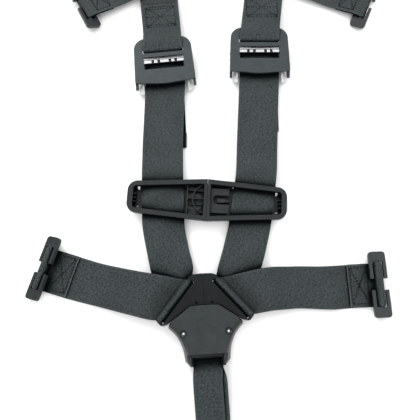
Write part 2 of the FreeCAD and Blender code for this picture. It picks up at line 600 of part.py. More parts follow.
def clip_female():
    """The half that takes the prongs: ribs above them, and a round hole for the button."""
    inner, outer, low, high = PRONG
    shell = clip_shell(-1, FEMALE_SLOT_NEAR)
    for s in (-1, 1):
        y0, y1 = sorted((s * (inner - 0.3), s * (outer + 0.3)))
        shell = shell.cut(box(-4, 1, y0, y1, low - 0.3, high + 0.3))
    shell = shell.cut(box(-4, 1, -4.4, 4.4, low - 0.3, high + 0.3))
    rib_low, rib_high = high + 0.5, 9.2
    ring = cylinder(14.3, V(0.8, 1.4, rib_low), V(0.8, 1.4, rib_high))
    ring = ring.cut(cylinder(13.4, V(0.8, 1.4, rib_low), V(0.8, 1.4, rib_high)))
    ring = ring.common(box(-18, -2.6, -15.2, 15.2, 0, 20))
    ribs = joined(box(-18.4, -2.6, 1.2, 2.0, rib_low, rib_high), ring,
                  box(-18.4, -17.6, -14.6, 14.6, rib_low, rib_high))
    shell = joined(shell, ribs)
    hole = cylinder(7.7, V(CLIP_BUTTON_X, 0, -1), V(CLIP_BUTTON_X, 0, CLIP_FLOOR + 0.1))
    return shell.cut(hole)


def clip_male():
    """The half with the prongs, a flat deck near the seam and the slot round the latch finger's root."""
    inner, outer, low, high = PRONG
    shell = clip_shell(1, MALE_SLOT_NEAR)
    deck = box(2.6, 19.8, -15.2, 15.2, 6.6, 8.4)
    deck = deck.common(prism(clip_outline(1, 3.5), 0, 20))
    for y0, y1 in ((11.9, 14.6), (-14.4, -11.0)):
        deck = deck.cut(box(3.6, 19.2, y0, y1, 6, 9))
    deck = deck.cut(prism([(5.6, -2.8, 3), (25, -2.8), (25, 5.6), (5.6, 5.6, 3)], 6, 9))
    shell = joined(shell, deck, box(9.4, 16.4, -0.8, 2.8, CLIP_FLOOR - 0.2, 7.6), box(16, 19.8, -0.2, 2.2, 2.0, 6.8))
    prongs = []
    for s in (-1, 1):
        y0, y1 = sorted((s * inner, s * outer))
        prong = [(-19, y0 + 0.6, 1), (-19, y1 - 0.6, 1), (-15, y1), (6, y1), (6, y0), (-15, y0)]
        prongs.append(prism(prong, low, high))
    shell = joined(shell, *prongs)
    return shell.cut(box(-1, 4.2, -4.2, 4.2, 3.8, 5.4))


def latch_finger():
    """The springy finger that hooks behind the female half's rib. The button lifts it."""
    leaf = prism([(-17.6, -3.6, 2), (4.1, -3.6), (4.1, 3.6), (-17.6, 3.6, 2)], 4.0, 5.2)
    return joined(leaf, box(-4.6, -3.4, -3.0, 3.0, 5.0, 6.2))


def clip_button():
    face = cylinder(7.5, V(CLIP_BUTTON_X, 0, 0.3), V(CLIP_BUTTON_X, 0, 2.4))
    flange = cylinder(8.6, V(CLIP_BUTTON_X, 0, 2.3), V(CLIP_BUTTON_X, 0, 2.9))
    stud = cylinder(2.8, V(CLIP_BUTTON_X, 0, 2.8), V(CLIP_BUTTON_X, 0, 3.9))
    return joined(face, flange, stud).cut(Part.makeSphere(50, V(CLIP_BUTTON_X, 0, -49.2)))


# ---------------------------------------------------------------- lower straps

def roller_line(adjuster):
    return [spot_point(adjuster, x, ROLLER_Y) for x in (-ROLLER_STRAP_HALF, ROLLER_STRAP_HALF)]


def adjuster_wrap(adjuster):
    """The webbing's turn round the lever's roller."""
    inner = ROLLER_R + WRAP_GAP
    low, high = V(-ROLLER_STRAP_HALF, ROLLER_Y, ROLLER_Z), V(ROLLER_STRAP_HALF, ROLLER_Y, ROLLER_Z)
    ring = cylinder(inner + WEB, low, high).cut(cylinder(inner, low, high))
    return placed(ring.common(box(-30, 30, ROLLER_Y - 0.4, ROLLER_Y + 9, -5, 20)), adjuster)


def tongue_wrap(sign):
    """The webbing's turn round the tongue's bar."""
    along, out, length = fold_frame()
    inner = TONGUE_BAR_R + WRAP_GAP
    middle = FOLD_TOP + out * (inner + WEB) + V(0, 0, BLADE_Z)
    low, high = middle, middle + along * length
    ring = cylinder(inner + WEB, low, high).cut(cylinder(inner, low, high))
    ring = ring.common(fold_box(0, length, -1, inner + WEB + 0.4, 0, 30))
    return in_buckle(ring if sign > 0 else mirrored(ring))


def tongue_axis(sign):
    """The two ends of the tongue bar's axis between the strap's edges, top first."""
    along, out, length = fold_frame()
    middle = FOLD_TOP + out * (TONGUE_BAR_R + WRAP_GAP + WEB)
    ends = []
    for p in (middle, middle + along * length):
        ends.append(spot_point((0, 0, 0, BUCKLE_TURN), sign * p.x, p.y))
    return ends


def shoulder_run(sign, adjuster, heights, plan):
    """The strap between its tongue and its adjuster."""
    wrap = ROLLER_R + WRAP_GAP + WEB / 2
    tongue_z = BLADE_Z - (TONGUE_BAR_R + WRAP_GAP + WEB / 2)
    points = [(300, ROLLER_Z + wrap)] + heights + [(-60, tongue_z)]
    strip = ribbon(points, 90)
    top, bottom = tongue_axis(sign)
    left, right = roller_line(adjuster)
    inner_edge, outer_edge = plan
    low_left, low_right = [spot_point(adjuster, x, -16) for x in (-STRAP_HALF, STRAP_HALF)]
    if sign < 0:
        corners = [low_left, left, right, low_right] + inner_edge + [top, bottom] + outer_edge[::-1]
    else:
        corners = [low_right, right, left, low_left] + inner_edge + [top, bottom] + outer_edge[::-1]
    return strip.common(prism(corners, -5, 40))


def tail(adjuster, end_y, left_x, right_x):
    """The free end of the strap, behind the shoulder strap, with its end folded and sewn thick."""
    wrap = ROLLER_R + WRAP_GAP + WEB / 2
    strip = ribbon([(300, ROLLER_Z - wrap), (226, ROLLER_Z - wrap, 60), (196, WEB / 2 + 0.05, 60),
                    (end_y, WEB / 2 + 0.05)], 90)
    left, right = roller_line(adjuster)
    slope = (right[1] - left[1]) * 0.5
    plan = [left, right, (right_x, end_y + slope), (left_x, end_y - slope)]
    strip = strip.common(prism(plan, -5, 20))
    hem = [(left_x, end_y - slope), (right_x, end_y + slope),
           (right_x, end_y + slope + HEM_LENGTH), (left_x, end_y - slope + HEM_LENGTH)]
    return joined(strip, prism(hem, 0.05, 2 * WEB + 0.05))


def hip_run(sign, anchor, heights, plan):
    """The strap between its tongue and its hip anchor."""
    tongue_z = BLADE_Z + (TONGUE_BAR_R + WRAP_GAP + WEB / 2)
    low_z = WEB / 2
    points = [(sign * 220, low_z)] + heights + [(sign * -20, tongue_z)]
    strip = ribbon(points, 90, "y")
    top, bottom = tongue_axis(sign)
    upper_edge, lower_edge = plan
    near = [spot_point(anchor, x, y) for x in (SEWN_LENGTH - 8, SEWN_LENGTH) for y in (-STRAP_HALF, STRAP_HALF)]
    inner = sorted(near[:2], key=lambda p: -p[1])
    outer = sorted(near[2:], key=lambda p: -p[1])
    corners = [inner[0], outer[0]] + upper_edge + [top, bottom] + lower_edge[::-1] + [outer[1], inner[1]]
    return strip.common(prism(corners, -5, 40))


def clip_zone(low, high):
    """A band across the chest clip, between two lines along the clip."""
    return placed(box(0, 200, low, high, -10, 60), CLIP)


def left_webbing():
    shoulder = shoulder_run(
        -1, LEFT_ADJUSTER,
        [(222, 7.85, 60), (176, 5.4, 120), (124, 6.95, 60), (112, 6.95, 30), (100, 9.0, 30), (88, 6.95, 30),
         (76, 6.95, 60), (36, 7.75, 100)],
        ([(-20.9, 160), (-20.3, 128), (-18.6, 76), (-13.6, 53), (-9.0, 37)],
         [(-58.4, 160), (-58.2, 128), (-56.4, 76), (-51.3, 52), (-47.0, 34)]))
    hip = hip_run(-1, LEFT_HIP,
                  [(-108, 0.7, 60), (-82, 3.6, 60), (-60, 11.5, 40), (-44, 14.25, 30)],
                  ([(-93, 43.4), (-57, 34.8)], [(-91, 5.0), (-48.5, -6.4)]))
    return joined(shoulder, adjuster_wrap(LEFT_ADJUSTER), tongue_wrap(-1), hip,
                  tail(LEFT_ADJUSTER, 152, -55.4, -17.6), placed(strap_end(STRAP_HALF), LEFT_HIP))


def right_webbing():
    """The right strap in three pieces: hip and lower part, the piece in the chest clip, and the upper part."""
    shoulder = shoulder_run(
        1, RIGHT_ADJUSTER,
        [(232, 7.85, 60), (180, 5.4, 120), (121, 6.95, 60), (108, 6.95, 30), (96, 9.0, 30), (84, 6.95, 30),
         (72, 6.95, 60), (36, 7.75, 100)],
        ([(29.6, 160), (28.3, 126), (20.8, 76), (15.2, 53), (10.4, 37)],
         [(67.4, 160), (65.8, 126), (58.8, 76), (53.2, 52), (48.0, 34)]))
    hip = hip_run(1, RIGHT_HIP,
                  [(136, 0.7, 40), (116, 4.2, 30), (96, 2.6, 30), (76, 5.4, 40), (58, 12.6, 40), (44, 14.25, 30)],
                  ([(112, 40.6), (83, 40.7), (55, 38.8)], [(112, 2.6), (82, 4.1), (56, 1.2)]))
    below = joined(shoulder.common(clip_zone(-200, CUT_BELOW - CUT_GAP)), tongue_wrap(1), hip,
                   placed(strap_end(STRAP_HALF), RIGHT_HIP))
    middle = shoulder.common(clip_zone(CUT_BELOW, CUT_ABOVE))
    above = joined(shoulder.common(clip_zone(CUT_ABOVE + CUT_GAP, 400)), adjuster_wrap(RIGHT_ADJUSTER),
                   tail(RIGHT_ADJUSTER, 170, 31.4, 69.4))
    return below, middle, above


# ---------------------------------------------------------------- everything

def tilted(shape, angle):
    """Turned about the anchor's bar, so that the side away from the strap rises."""
    copy = shape.copy()
    copy.Placement = FreeCAD.Placement(V(0, 0, 0), FreeCAD.Rotation(V(0, 1, 0), angle)).multiply(copy.Placement)
    return copy


def save_anchors():
    plate = anchor_plate(ANCHOR_HALF_LONG)
    save("left_hip_anchor", placed(tilted(plate, LEFT_HIP_TILT), LEFT_HIP))
    save("right_hip_anchor", placed(plate, RIGHT_HIP))
    save("left_shoulder_anchor", placed(tilted(plate, LEFT_SHOULDER_TILT), LEFT_SHOULDER))
    save("right_shoulder_anchor", placed(tilted(plate, RIGHT_SHOULDER_TILT), RIGHT_SHOULDER))
    save("crotch_anchor", in_buckle(placed(anchor_plate(CROTCH_ANCHOR_HALF_LONG), CROTCH_ANCHOR)))


def save_webbing():
    save("left_lower_webbing", left_webbing())
    below, middle, above = right_webbing()
    save("right_lower_webbing", below)
    save("right_clip_webbing", middle)
    save("right_upper_webbing", above)
    save("left_shoulder_webbing", upper_strap(LEFT_ADJUSTER, LEFT_FOLD, LEFT_SHOULDER,
                                              [(-17.5, 5), (-17.4, 40)], [(19.2, 5), (19.4, 40)]))
    save("right_shoulder_webbing", upper_strap(RIGHT_ADJUSTER, RIGHT_FOLD, RIGHT_SHOULDER,
                                               [(-17.8, 5), (-18.2, 17), (-17.2, 30), (-14.0, 58)],
                                               [(18.8, 5), (19.2, 17), (20.7, 30), (24.2, 58)]))
    save("crotch_webbing", in_buckle(crotch_webbing()))


def save_buckle():
    save("buckle_housing", in_buckle(buckle_housing()))
    save("buckle_cover", in_buckle(buckle_cover()))
    save("cover_screws", in_buckle(cover_screws()))
    save("buckle_frame", in_buckle(buckle_frame()))
    save("latch_leaf", in_buckle(latch_leaf()))
    save("release_button", in_buckle(release_button()))
    save("ejector", in_buckle(ejector()))
    save("ejector_springs", in_buckle(ejector_springs()))
    blade, mould = right_tongue()
    save("right_tongue_blade", in_buckle(blade))
    save("right_tongue_grip", in_buckle(mould))
    save("left_tongue_blade", in_buckle(mirrored(blade)))
    save("left_tongue_grip", in_buckle(mirrored(mould)))


def save_adjusters():
    makers = (("plate", adjuster_plate()), ("bar", adjuster_bar()), ("lever", adjuster_lever()),
              ("pin", adjuster_pin()), ("springs", lever_springs()))
    for side, spot in (("left", LEFT_ADJUSTER), ("right", RIGHT_ADJUSTER)):
        for name, shape in makers:
            save(f"{side}_adjuster_{name}", placed(shape, spot))


def save_clip():
    save("clip_female", placed(clip_female(), CLIP))
    save("clip_male", placed(clip_male(), CLIP))
    save("clip_latch_finger", placed(latch_finger(), CLIP))
    save("clip_button", placed(clip_button(), CLIP))


os.makedirs("parts", exist_ok=True)
save_anchors()
save_webbing()
save_buckle()
save_adjusters()
save_clip()
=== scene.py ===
"""Five-point harness lying face down: webbing, stitching, finishes, camera and light.

Shapes are worked out in millimetres and become metres when their meshes are made. +Y runs from the
crotch strap up to the shoulder straps, and +Z is away from the table.
"""

import json
import math

import bmesh
import bpy
import numpy as np
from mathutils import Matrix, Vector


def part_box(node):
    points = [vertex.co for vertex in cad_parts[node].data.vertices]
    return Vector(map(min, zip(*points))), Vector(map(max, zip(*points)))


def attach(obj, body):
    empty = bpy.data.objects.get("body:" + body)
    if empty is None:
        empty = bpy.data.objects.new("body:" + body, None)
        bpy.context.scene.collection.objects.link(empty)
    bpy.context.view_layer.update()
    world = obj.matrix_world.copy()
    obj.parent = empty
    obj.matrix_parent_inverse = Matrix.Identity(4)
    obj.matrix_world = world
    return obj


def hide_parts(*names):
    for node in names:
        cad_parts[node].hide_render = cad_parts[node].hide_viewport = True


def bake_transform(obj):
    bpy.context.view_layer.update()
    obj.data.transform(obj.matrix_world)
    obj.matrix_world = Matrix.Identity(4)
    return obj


MM = 0.001
UP = np.array([0.0, 0.0, 1.0])

# Webbing
HALF_WEB = 0.7  # half the thickness of one layer
STEP = 1.5  # distance between two stations along a strap
ACROSS = 14  # faces across a strap
SELVEDGE = 1.6  # width over which a strap thins towards its edge
STRAP_HALF, UPPER_HALF, CROTCH_HALF = 19.0, 18.5, 12.2
ROLLER_STRAP_HALF = 18.1
SEWN = 26.0  # a sewn end's length from its anchor's bar
HEM = 13.0  # the folded end of a lower strap

# Bars that the webbing goes round: mean radius of the webbing, and where the bar is
ROLLER_R, ROLLER_Y, ROLLER_Z = 3.05, 2.9, 4.8
TONGUE_R, TONGUE_Z = 3.25, 11.0
ANCHOR_R = 3.12
CROTCH_R, CROTCH_BAR_Y, CROTCH_BAR_Z = 3.15, -31.0, 11.0
FOLD_R, FOLD_Z = 2.6, 4.9
BUCKLE_TURN = math.radians(3.8)
FOLD_TOP, FOLD_BOTTOM = (8.1, 25.6), (35.3, -7.0)
SHOULDER_SLOPE = math.tan(math.radians(8.0))

# The folds of the two shoulder straps: left and right end of the line where the strap turns over
LEFT_FOLD = ((-71.3, 352.9), (-30.5, 331.8))
RIGHT_FOLD = ((41.9, 337.1), (83.0, 360.9))

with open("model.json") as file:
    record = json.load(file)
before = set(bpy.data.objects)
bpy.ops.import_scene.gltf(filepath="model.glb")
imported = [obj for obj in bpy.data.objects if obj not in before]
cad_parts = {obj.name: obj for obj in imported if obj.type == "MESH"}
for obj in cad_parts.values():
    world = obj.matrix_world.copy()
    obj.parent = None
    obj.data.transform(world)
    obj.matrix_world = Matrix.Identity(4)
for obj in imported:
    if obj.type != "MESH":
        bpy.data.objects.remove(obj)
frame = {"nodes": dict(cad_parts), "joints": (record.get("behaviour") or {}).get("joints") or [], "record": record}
scene = bpy.context.scene
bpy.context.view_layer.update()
nodes = frame["nodes"]
joints = {joint["name"]: joint for joint in frame["joints"]}
bodies = frame["record"]["behaviour"]["bodies"]
body_of_node = {member: body_name for body_name, members in bodies.items() for member in members}


# ---------------------------------------------------------------- places

def bar_spot(joint_name, turn_of):
    """A joint's point and the direction of a local frame on it, as (x, y, turn), and its height."""
    joint = joints[joint_name]
    x, y, z = [value / MM for value in joint["pos_m"]]
    return (x, y, turn_of(joint["axis"])), z


def at(spot, x, y):
    """A point of a local frame, in the part's frame."""
    cos, sin = math.cos(spot[2]), math.sin(spot[2])
    return (spot[0] + x * cos - y * sin, spot[1] + x * sin + y * cos)


def local(spot, points):
    """Points of the part's frame, in a local frame."""
    cos, sin = math.cos(spot[2]), math.sin(spot[2])
    dx, dy = points[:, 0] - spot[0], points[:, 1] - spot[1]
    return np.stack([dx * cos + dy * sin, dy * cos - dx * sin], axis=1)


def direction(spot, x, y):
    start, end = at(spot, 0, 0), at(spot, x, y)
    return np.array([end[0] - start[0], end[1] - start[1], 0.0])


def adjuster_spot(joint_name):
    """An adjuster's frame: x along its roller, y towards the shoulder, its origin below its window."""
    spot, _ = bar_spot(joint_name, lambda axis: math.atan2(axis[1], axis[0]))
    x, y = at(spot, 0, -ROLLER_Y)
    return (x, y, spot[2])


def anchor_spot(joint_name, sign):
    """An anchor's frame: y along its bar and x towards the strap.
    sign is that of the joint's axis along y."""
    return bar_spot(joint_name, lambda axis: math.atan2(-sign * axis[0], sign * axis[1]))


BUCKLE = (0.0, 0.0, BUCKLE_TURN)
LEFT_ADJUSTER = adjuster_spot("left_lever_lift")
RIGHT_ADJUSTER = adjuster_spot("right_lever_lift")
LEFT_HIP, HIP_BAR_Z = anchor_spot("left_hip_anchor_turn", -1)
RIGHT_HIP, _ = anchor_spot("right_hip_anchor_turn", -1)
LEFT_SHOULDER, LEFT_SHOULDER_Z = anchor_spot("left_shoulder_anchor_turn", 1)
RIGHT_SHOULDER, RIGHT_SHOULDER_Z = anchor_spot("right_shoulder_anchor_turn", 1)
CROTCH, CROTCH_Z = anchor_spot("crotch_anchor_turn", -1)


# ---------------------------------------------------------------- lines

def resampled(points, count):
    """That many points spread evenly along a line of points."""
    line = np.array(points, float)
    reach = np.concatenate([[0.0], np.cumsum(np.linalg.norm(np.diff(line, axis=0), axis=1))])
    places = np.linspace(0, reach[-1], count)
    return np.stack([np.interp(places, reach, line[:, k]) for k in range(line.shape[1])], axis=1)


def length(points):
    return float(np.linalg.norm(np.diff(np.array(points, float), axis=0), axis=1).sum())


def softened(line, spread):
    """The line with its corners rounded over spread millimetres. Its ends stay."""
    sigma = min(spread / STEP, (len(line) - 2) / 3.2)
    if sigma < 0.3:
        return line
    reach = int(3 * sigma) + 1
    kernel = np.exp(-0.5 * (np.arange(-reach, reach + 1) / sigma) ** 2)
    kernel /= kernel.sum()
    before = 2 * line[0] - line[reach:0:-1]
    after = 2 * line[-1] - line[-2:-reach - 2:-1]
    padded = np.concatenate([before, line, after])
    return np.stack([np.convolve(padded[:, k], kernel, "valid") for k in range(line.shape[1])], axis=1)


def heights_along(line, profile, coordinate):
    """The line of plan points with the profile's height at each point's coordinate."""
    rows = sorted(profile)
    z = np.interp(coordinate(line), [row[0] for row in rows], [row[1] for row in rows])
    return np.column_stack([line[:, :2], z])


def run(plan_a, plan_b, profile, coordinate, spread=5.0):
    """Both edges of a strap between two places: each edge's plan, and one height profile for both."""
    count = max(4, int(max(length(plan_a), length(plan_b)) / STEP))
    edges = []
    for plan in (plan_a, plan_b):
        line = softened(resampled(plan, count), spread)
        edges.append(softened(heights_along(line, profile, coordinate), spread * 0.6))
    return edges


def along_x(line):
    return line[:, 0]


def along_y(line):
    return line[:, 1]


def round_bar(axis_a, axis_b, towards, radius, start, end, up=UP):
    """Both edges of a strap round a bar.
    Angles are in degrees from straight below, through the side that the strap goes round."""
    count = max(6, int(abs(end - start) / 14))
    edges = ([], [])
    for angle in np.radians(np.linspace(start, end, count)):
        reach = radius * (towards * math.sin(angle) - up * math.cos(angle))
        edges[0].append(np.array(axis_a) + reach)
        edges[1].append(np.array(axis_b) + reach)
    return [np.array(edges[0]), np.array(edges[1])]


def chained(*parts):
    """Both edges of a strap from those of its parts, which follow each other."""
    edges = []
    for side in (0, 1):
        lines = [parts[0][side]] + [part[side][1:] for part in parts[1:]]
        edges.append(np.concatenate(lines))
    return edges


def split(edges, spot, row_a, row_b, reach=6):
    """The strap's edges before and after a line of a local frame. Each edge is cut at its own row.
    Stations further than reach from the cut stay as they are."""
    cuts, points = [], []
    for line, row in zip(edges, (row_a, row_b)):
        y = local(spot, line)[:, 1]
        cut = int(np.argmax(y <= row))
        share = (row - y[cut - 1]) / (y[cut] - y[cut - 1])
        cuts.append(cut)
        points.append(line[cut - 1] + share * (line[cut] - line[cut - 1]))
    first, last = min(cuts) - reach, max(cuts) + reach
    above, below = [], []
    for line, cut, point in zip(edges, cuts, points):
        before = resampled(np.vstack([line[first:cut], point]), max(cuts) - first + 1)
        after = resampled(np.vstack([point, line[cut:last]]), last - min(cuts) + 1)
        above.append(np.vstack([line[:first], before]))
        below.append(np.vstack([after, line[last:]]))
    return above, below


# ---------------------------------------------------------------- meshes

def linked(name, mesh, material, body=None):
    obj = bpy.data.objects.new(name, mesh)
    scene.collection.objects.link(obj)
    obj.data.materials.clear()
    obj.data.materials.append(material)
    if body:
        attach(obj, body)
    return obj


def strap_grid(edges):
    """Middle surface of a strap: its points, unit normals, lengths along and distances across."""
    a, b = edges
    share = np.linspace(0, 1, ACROSS + 1)
    # Stations are closer together near both edges, where the webbing thins
    share = share - 0.09 * np.sin(2 * math.pi * share) / 2
    points = a[:, None, :] * (1 - share)[None, :, None] + b[:, None, :] * share[None, :, None]
    du = np.gradient(points, axis=0)
    dv = np.gradient(points, axis=1)
    normals = np.cross(du, dv)
    normals /= np.linalg.norm(normals, axis=2, keepdims=True) + 1e-12
    steps = np.linalg.norm(np.diff(points, axis=0), axis=2)
    u = np.concatenate([np.zeros((1, ACROSS + 1)), np.cumsum(steps, axis=0)])
    v = np.linalg.norm(b - a, axis=1)[:, None] * share[None, :]
    return points, normals, u, v


def webbing_profile(v, width):
    """Half the thickness at each distance across: thin, rounded edges, and a slight rib inside them."""
    inward = np.minimum(v, width - v)
    edge = np.clip(inward / SELVEDGE, 0, 1)
    rounded = np.sqrt(np.clip(1 - (1 - edge) ** 2, 0, 1))
    return HALF_WEB * (0.34 + 0.66 * rounded)


def strap(name, edges, phase=0.0):
    """A closed strip of webbing. Its top is on the side of the edges' normals."""
    points, normals, u, v = strap_grid(edges)
    width = v[:, -1:]
    half = webbing_profile(v, width)
    ripple = 0.07 * np.sin(u / 23.0 + phase) * np.sin(math.pi * v / width)
    ripple += 0.05 * np.sin(u / 9.0 + v / 7.0 + phase * 2)
    fade = np.minimum(1.0, np.minimum(np.arange(len(u)), np.arange(len(u))[::-1]) / 6.0)
    points = points + normals * (ripple * fade[:, None])[:, :, None]
    top = points + normals * half[:, :, None]
    bottom = points - normals * half[:, :, None]
    ring = np.concatenate([top, bottom[:, ::-1]], axis=1)
    ring_u = np.concatenate([u, u[:, ::-1]], axis=1)
    ring_v = np.concatenate([v, v[:, ::-1]], axis=1)
    inward = np.minimum(ring_v, width - ring_v)
    rows, columns = ring.shape[:2]
    index = np.arange(rows * columns).reshape(rows, columns)
    faces = []
    for i in range(rows - 1):
        for k in range(columns):
            m = (k + 1) % columns
            faces.append((index[i, k], index[i + 1, k], index[i + 1, m], index[i, m]))
    for row in (0, rows - 1):
        for k in range(ACROSS):
            quad = (index[row, k], index[row, k + 1],
                    index[row, columns - 2 - k], index[row, columns - 1 - k])
            faces.append(quad if row == 0 else quad[::-1])
    mesh = bpy.data.meshes.new(name)
    mesh.from_pydata((ring.reshape(-1, 3) * MM).tolist(), [], [tuple(int(i) for i in f) for f in faces])
    fill_uv(mesh, "UVMap", ring_u.ravel() * MM, ring_v.ravel() * MM)
    fill_uv(mesh, "Edge", inward.ravel() * MM, ring_u.ravel() * MM)
    mesh.shade_smooth()
    mesh.set_sharp_from_angle(angle=math.radians(50))
    shape = bmesh.new()
    shape.from_mesh(mesh)
    bmesh.ops.recalc_face_normals(shape, faces=shape.faces)
    shape.to_mesh(mesh)
    shape.free()
    return mesh


def light_end(obj, material):
    """The last end of a strap of webbing, where the tape was cut with heat."""
    obj.data.materials.append(material)
    for face in list(obj.data.polygons)[-ACROSS:]:
        face.material_index = 1


def fill_uv(mesh, name, u, v):
    layer = mesh.uv_layers.new(name=name)
    loops = np.empty(len(mesh.loops), np.int32)
    mesh.loops.foreach_get("vertex_index", loops)
    layer.data.foreach_set("uv", np.column_stack([u[loops], v[loops]]).astype(np.float32).ravel())


def thread(name, stitches, radius=0.28):
    """Sewing thread: one bead for each stitch, from its start to its end, half sunk into the webbing."""
    sides = 6
    rings = ((0.0, 0.35), (0.14, 0.85), (0.5, 1.0), (0.86, 0.85), (1.0, 0.35))
    verts, faces = [], []
    for start, end, normal in stitches:
        start, end, normal = np.array(start, float), np.array(end, float), np.array(normal, float)
        along = (end - start) / np.linalg.norm(end - start)
        side = np.cross(normal, along)
        first = len(verts)
        for share, scale in rings:
            lift = normal * (radius * 0.9 * math.sin(math.pi * (0.1 + 0.8 * share)) - radius * 0.5)
            centre = start + (end - start) * share + lift
            for k in range(sides):
                turn = 2 * math.pi * k / sides
                outward = side * math.cos(turn) + normal * math.sin(turn)
                verts.append((centre + radius * scale * outward) * MM)
        for r in range(len(rings) - 1):
            for k in range(sides):
                m = (k + 1) % sides
                row, after = first + r * sides, first + (r + 1) * sides
                faces.append((row + k, row + m, after + m, after + k))
        faces.append(tuple(first + k for k in range(sides))[::-1])
        faces.append(tuple(first + (len(rings) - 1) * sides + k for k in range(sides)))
    mesh = bpy.data.meshes.new(name)
    mesh.from_pydata([tuple(p) for p in verts], [], faces)
    mesh.shade_smooth()
    return mesh


def stitched_lines(lines, surface, normal, pitch=2.9, stitch=2.3):
    """Stitches along straight lines of a flat place. surface turns a local (x, y) into a point."""
    stitches = []
    for start, end in lines:
        start, end = np.array(start, float), np.array(end, float)
        span = np.linalg.norm(end - start)
        count = max(1, int(round(span / pitch)))
        along = (end - start) / span
        for i in range(count):
            begin = start + along * (span * (i + 0.5) / count - stitch / 2)
            finish = begin + along * stitch
            stitches.append((surface(*begin), surface(*finish), normal))
    return stitches


def box_and_cross(x0, x1, y0, y1):
    """A sewn rectangle with both diagonals."""
    a, b, c, d = (x0, y0), (x1, y0), (x1, y1), (x0, y1)
    return [(a, b), (b, c), (c, d), (d, a), (a, c), (b, d)]


# ---------------------------------------------------------------- materials

class Graph:
    """A material's nodes, made and joined in one call each."""

    def __init__(self, name):
        self.material = bpy.data.materials.new(name)
        self.material.use_nodes = True
        self.tree = self.material.node_tree
        self.shader = self.tree.nodes["Principled BSDF"]

    def add(self, kind, settings=None, **inputs):
        node = self.tree.nodes.new(kind)
        for key, value in (settings or {}).items():
            setattr(node, key, value)
        for key, value in inputs.items():
            self.put(node, key, value)
        return node

    def put(self, node, key, value):
        socket = node.inputs[int(key[1:])] if key[0] == "i" and key[1:].isdigit() else node.inputs[key]
        if isinstance(value, bpy.types.NodeSocket):
            self.tree.links.new(value, socket)
        else:
            socket.default_value = value

    def math(self, operation, *values):
        node = self.add("ShaderNodeMath", {"operation": operation})
        for k, value in enumerate(values):
            self.put(node, f"i{k}", value)
        return node.outputs[0]

    def mix(self, factor, a, b):
        node = self.add("ShaderNodeMix", {"data_type": "RGBA"})
        self.put(node, "Factor", factor)
        for key, value in (("A", a), ("B", b)):
            socket = [s for s in node.inputs if s.name == key and s.type == "RGBA"][0]
            if isinstance(value, bpy.types.NodeSocket):
                self.tree.links.new(value, socket)
            else:
                socket.default_value = (*value, 1.0)
        return [s for s in node.outputs if s.type == "RGBA"][0]

    def noise(self, vector, scale, detail=3.0, roughness=0.55):
        node = self.add("ShaderNodeTexNoise", None, Scale=scale, Detail=detail, Roughness=roughness)
        self.put(node, "Vector", vector)
        return node.outputs[0]

    def ramp(self, value, low, high, to_low=0.0, to_high=1.0):
        node = self.add("ShaderNodeMapRange")
        for k, item in enumerate((value, low, high, to_low, to_high)):
            self.put(node, f"i{k}", item)
        return node.outputs[0]

    def painted_fold_shade(self, reach, closed, unshaded):
        """Painted shade mask: 0 deep inside a fold and 1 on an open surface, from how much stands within reach of
        it.
        """
        node = self.add("ShaderNodeAmbientOcclusion", {"samples": 8}, Distance=reach * MM)
        return self.ramp(node.outputs["AO"], closed, unshaded)

    def bump(self, height, strength, distance):
        node = self.add("ShaderNodeBump", None, Height=height, Strength=strength, Distance=distance)
        return node.outputs[0]

    def finish(self, **inputs):
        for key, value in inputs.items():
            name = key.replace("_", " ")
            self.put(self.shader, name, value)
        return self.material


# Painted shade: the colour that a surface is darkened to inside folds, creases and under rims
FOLD_SHADE_COLOUR = (0.0025, 0.0035, 0.004)  # the colour that a surface darkens to inside a fold

# The weave: half a herringbone's width, and the distances from ridge to ridge and from yarn to yarn
HERRINGBONE, RIDGE_PITCH, YARN_PITCH = 2.2, 1.7, 0.9


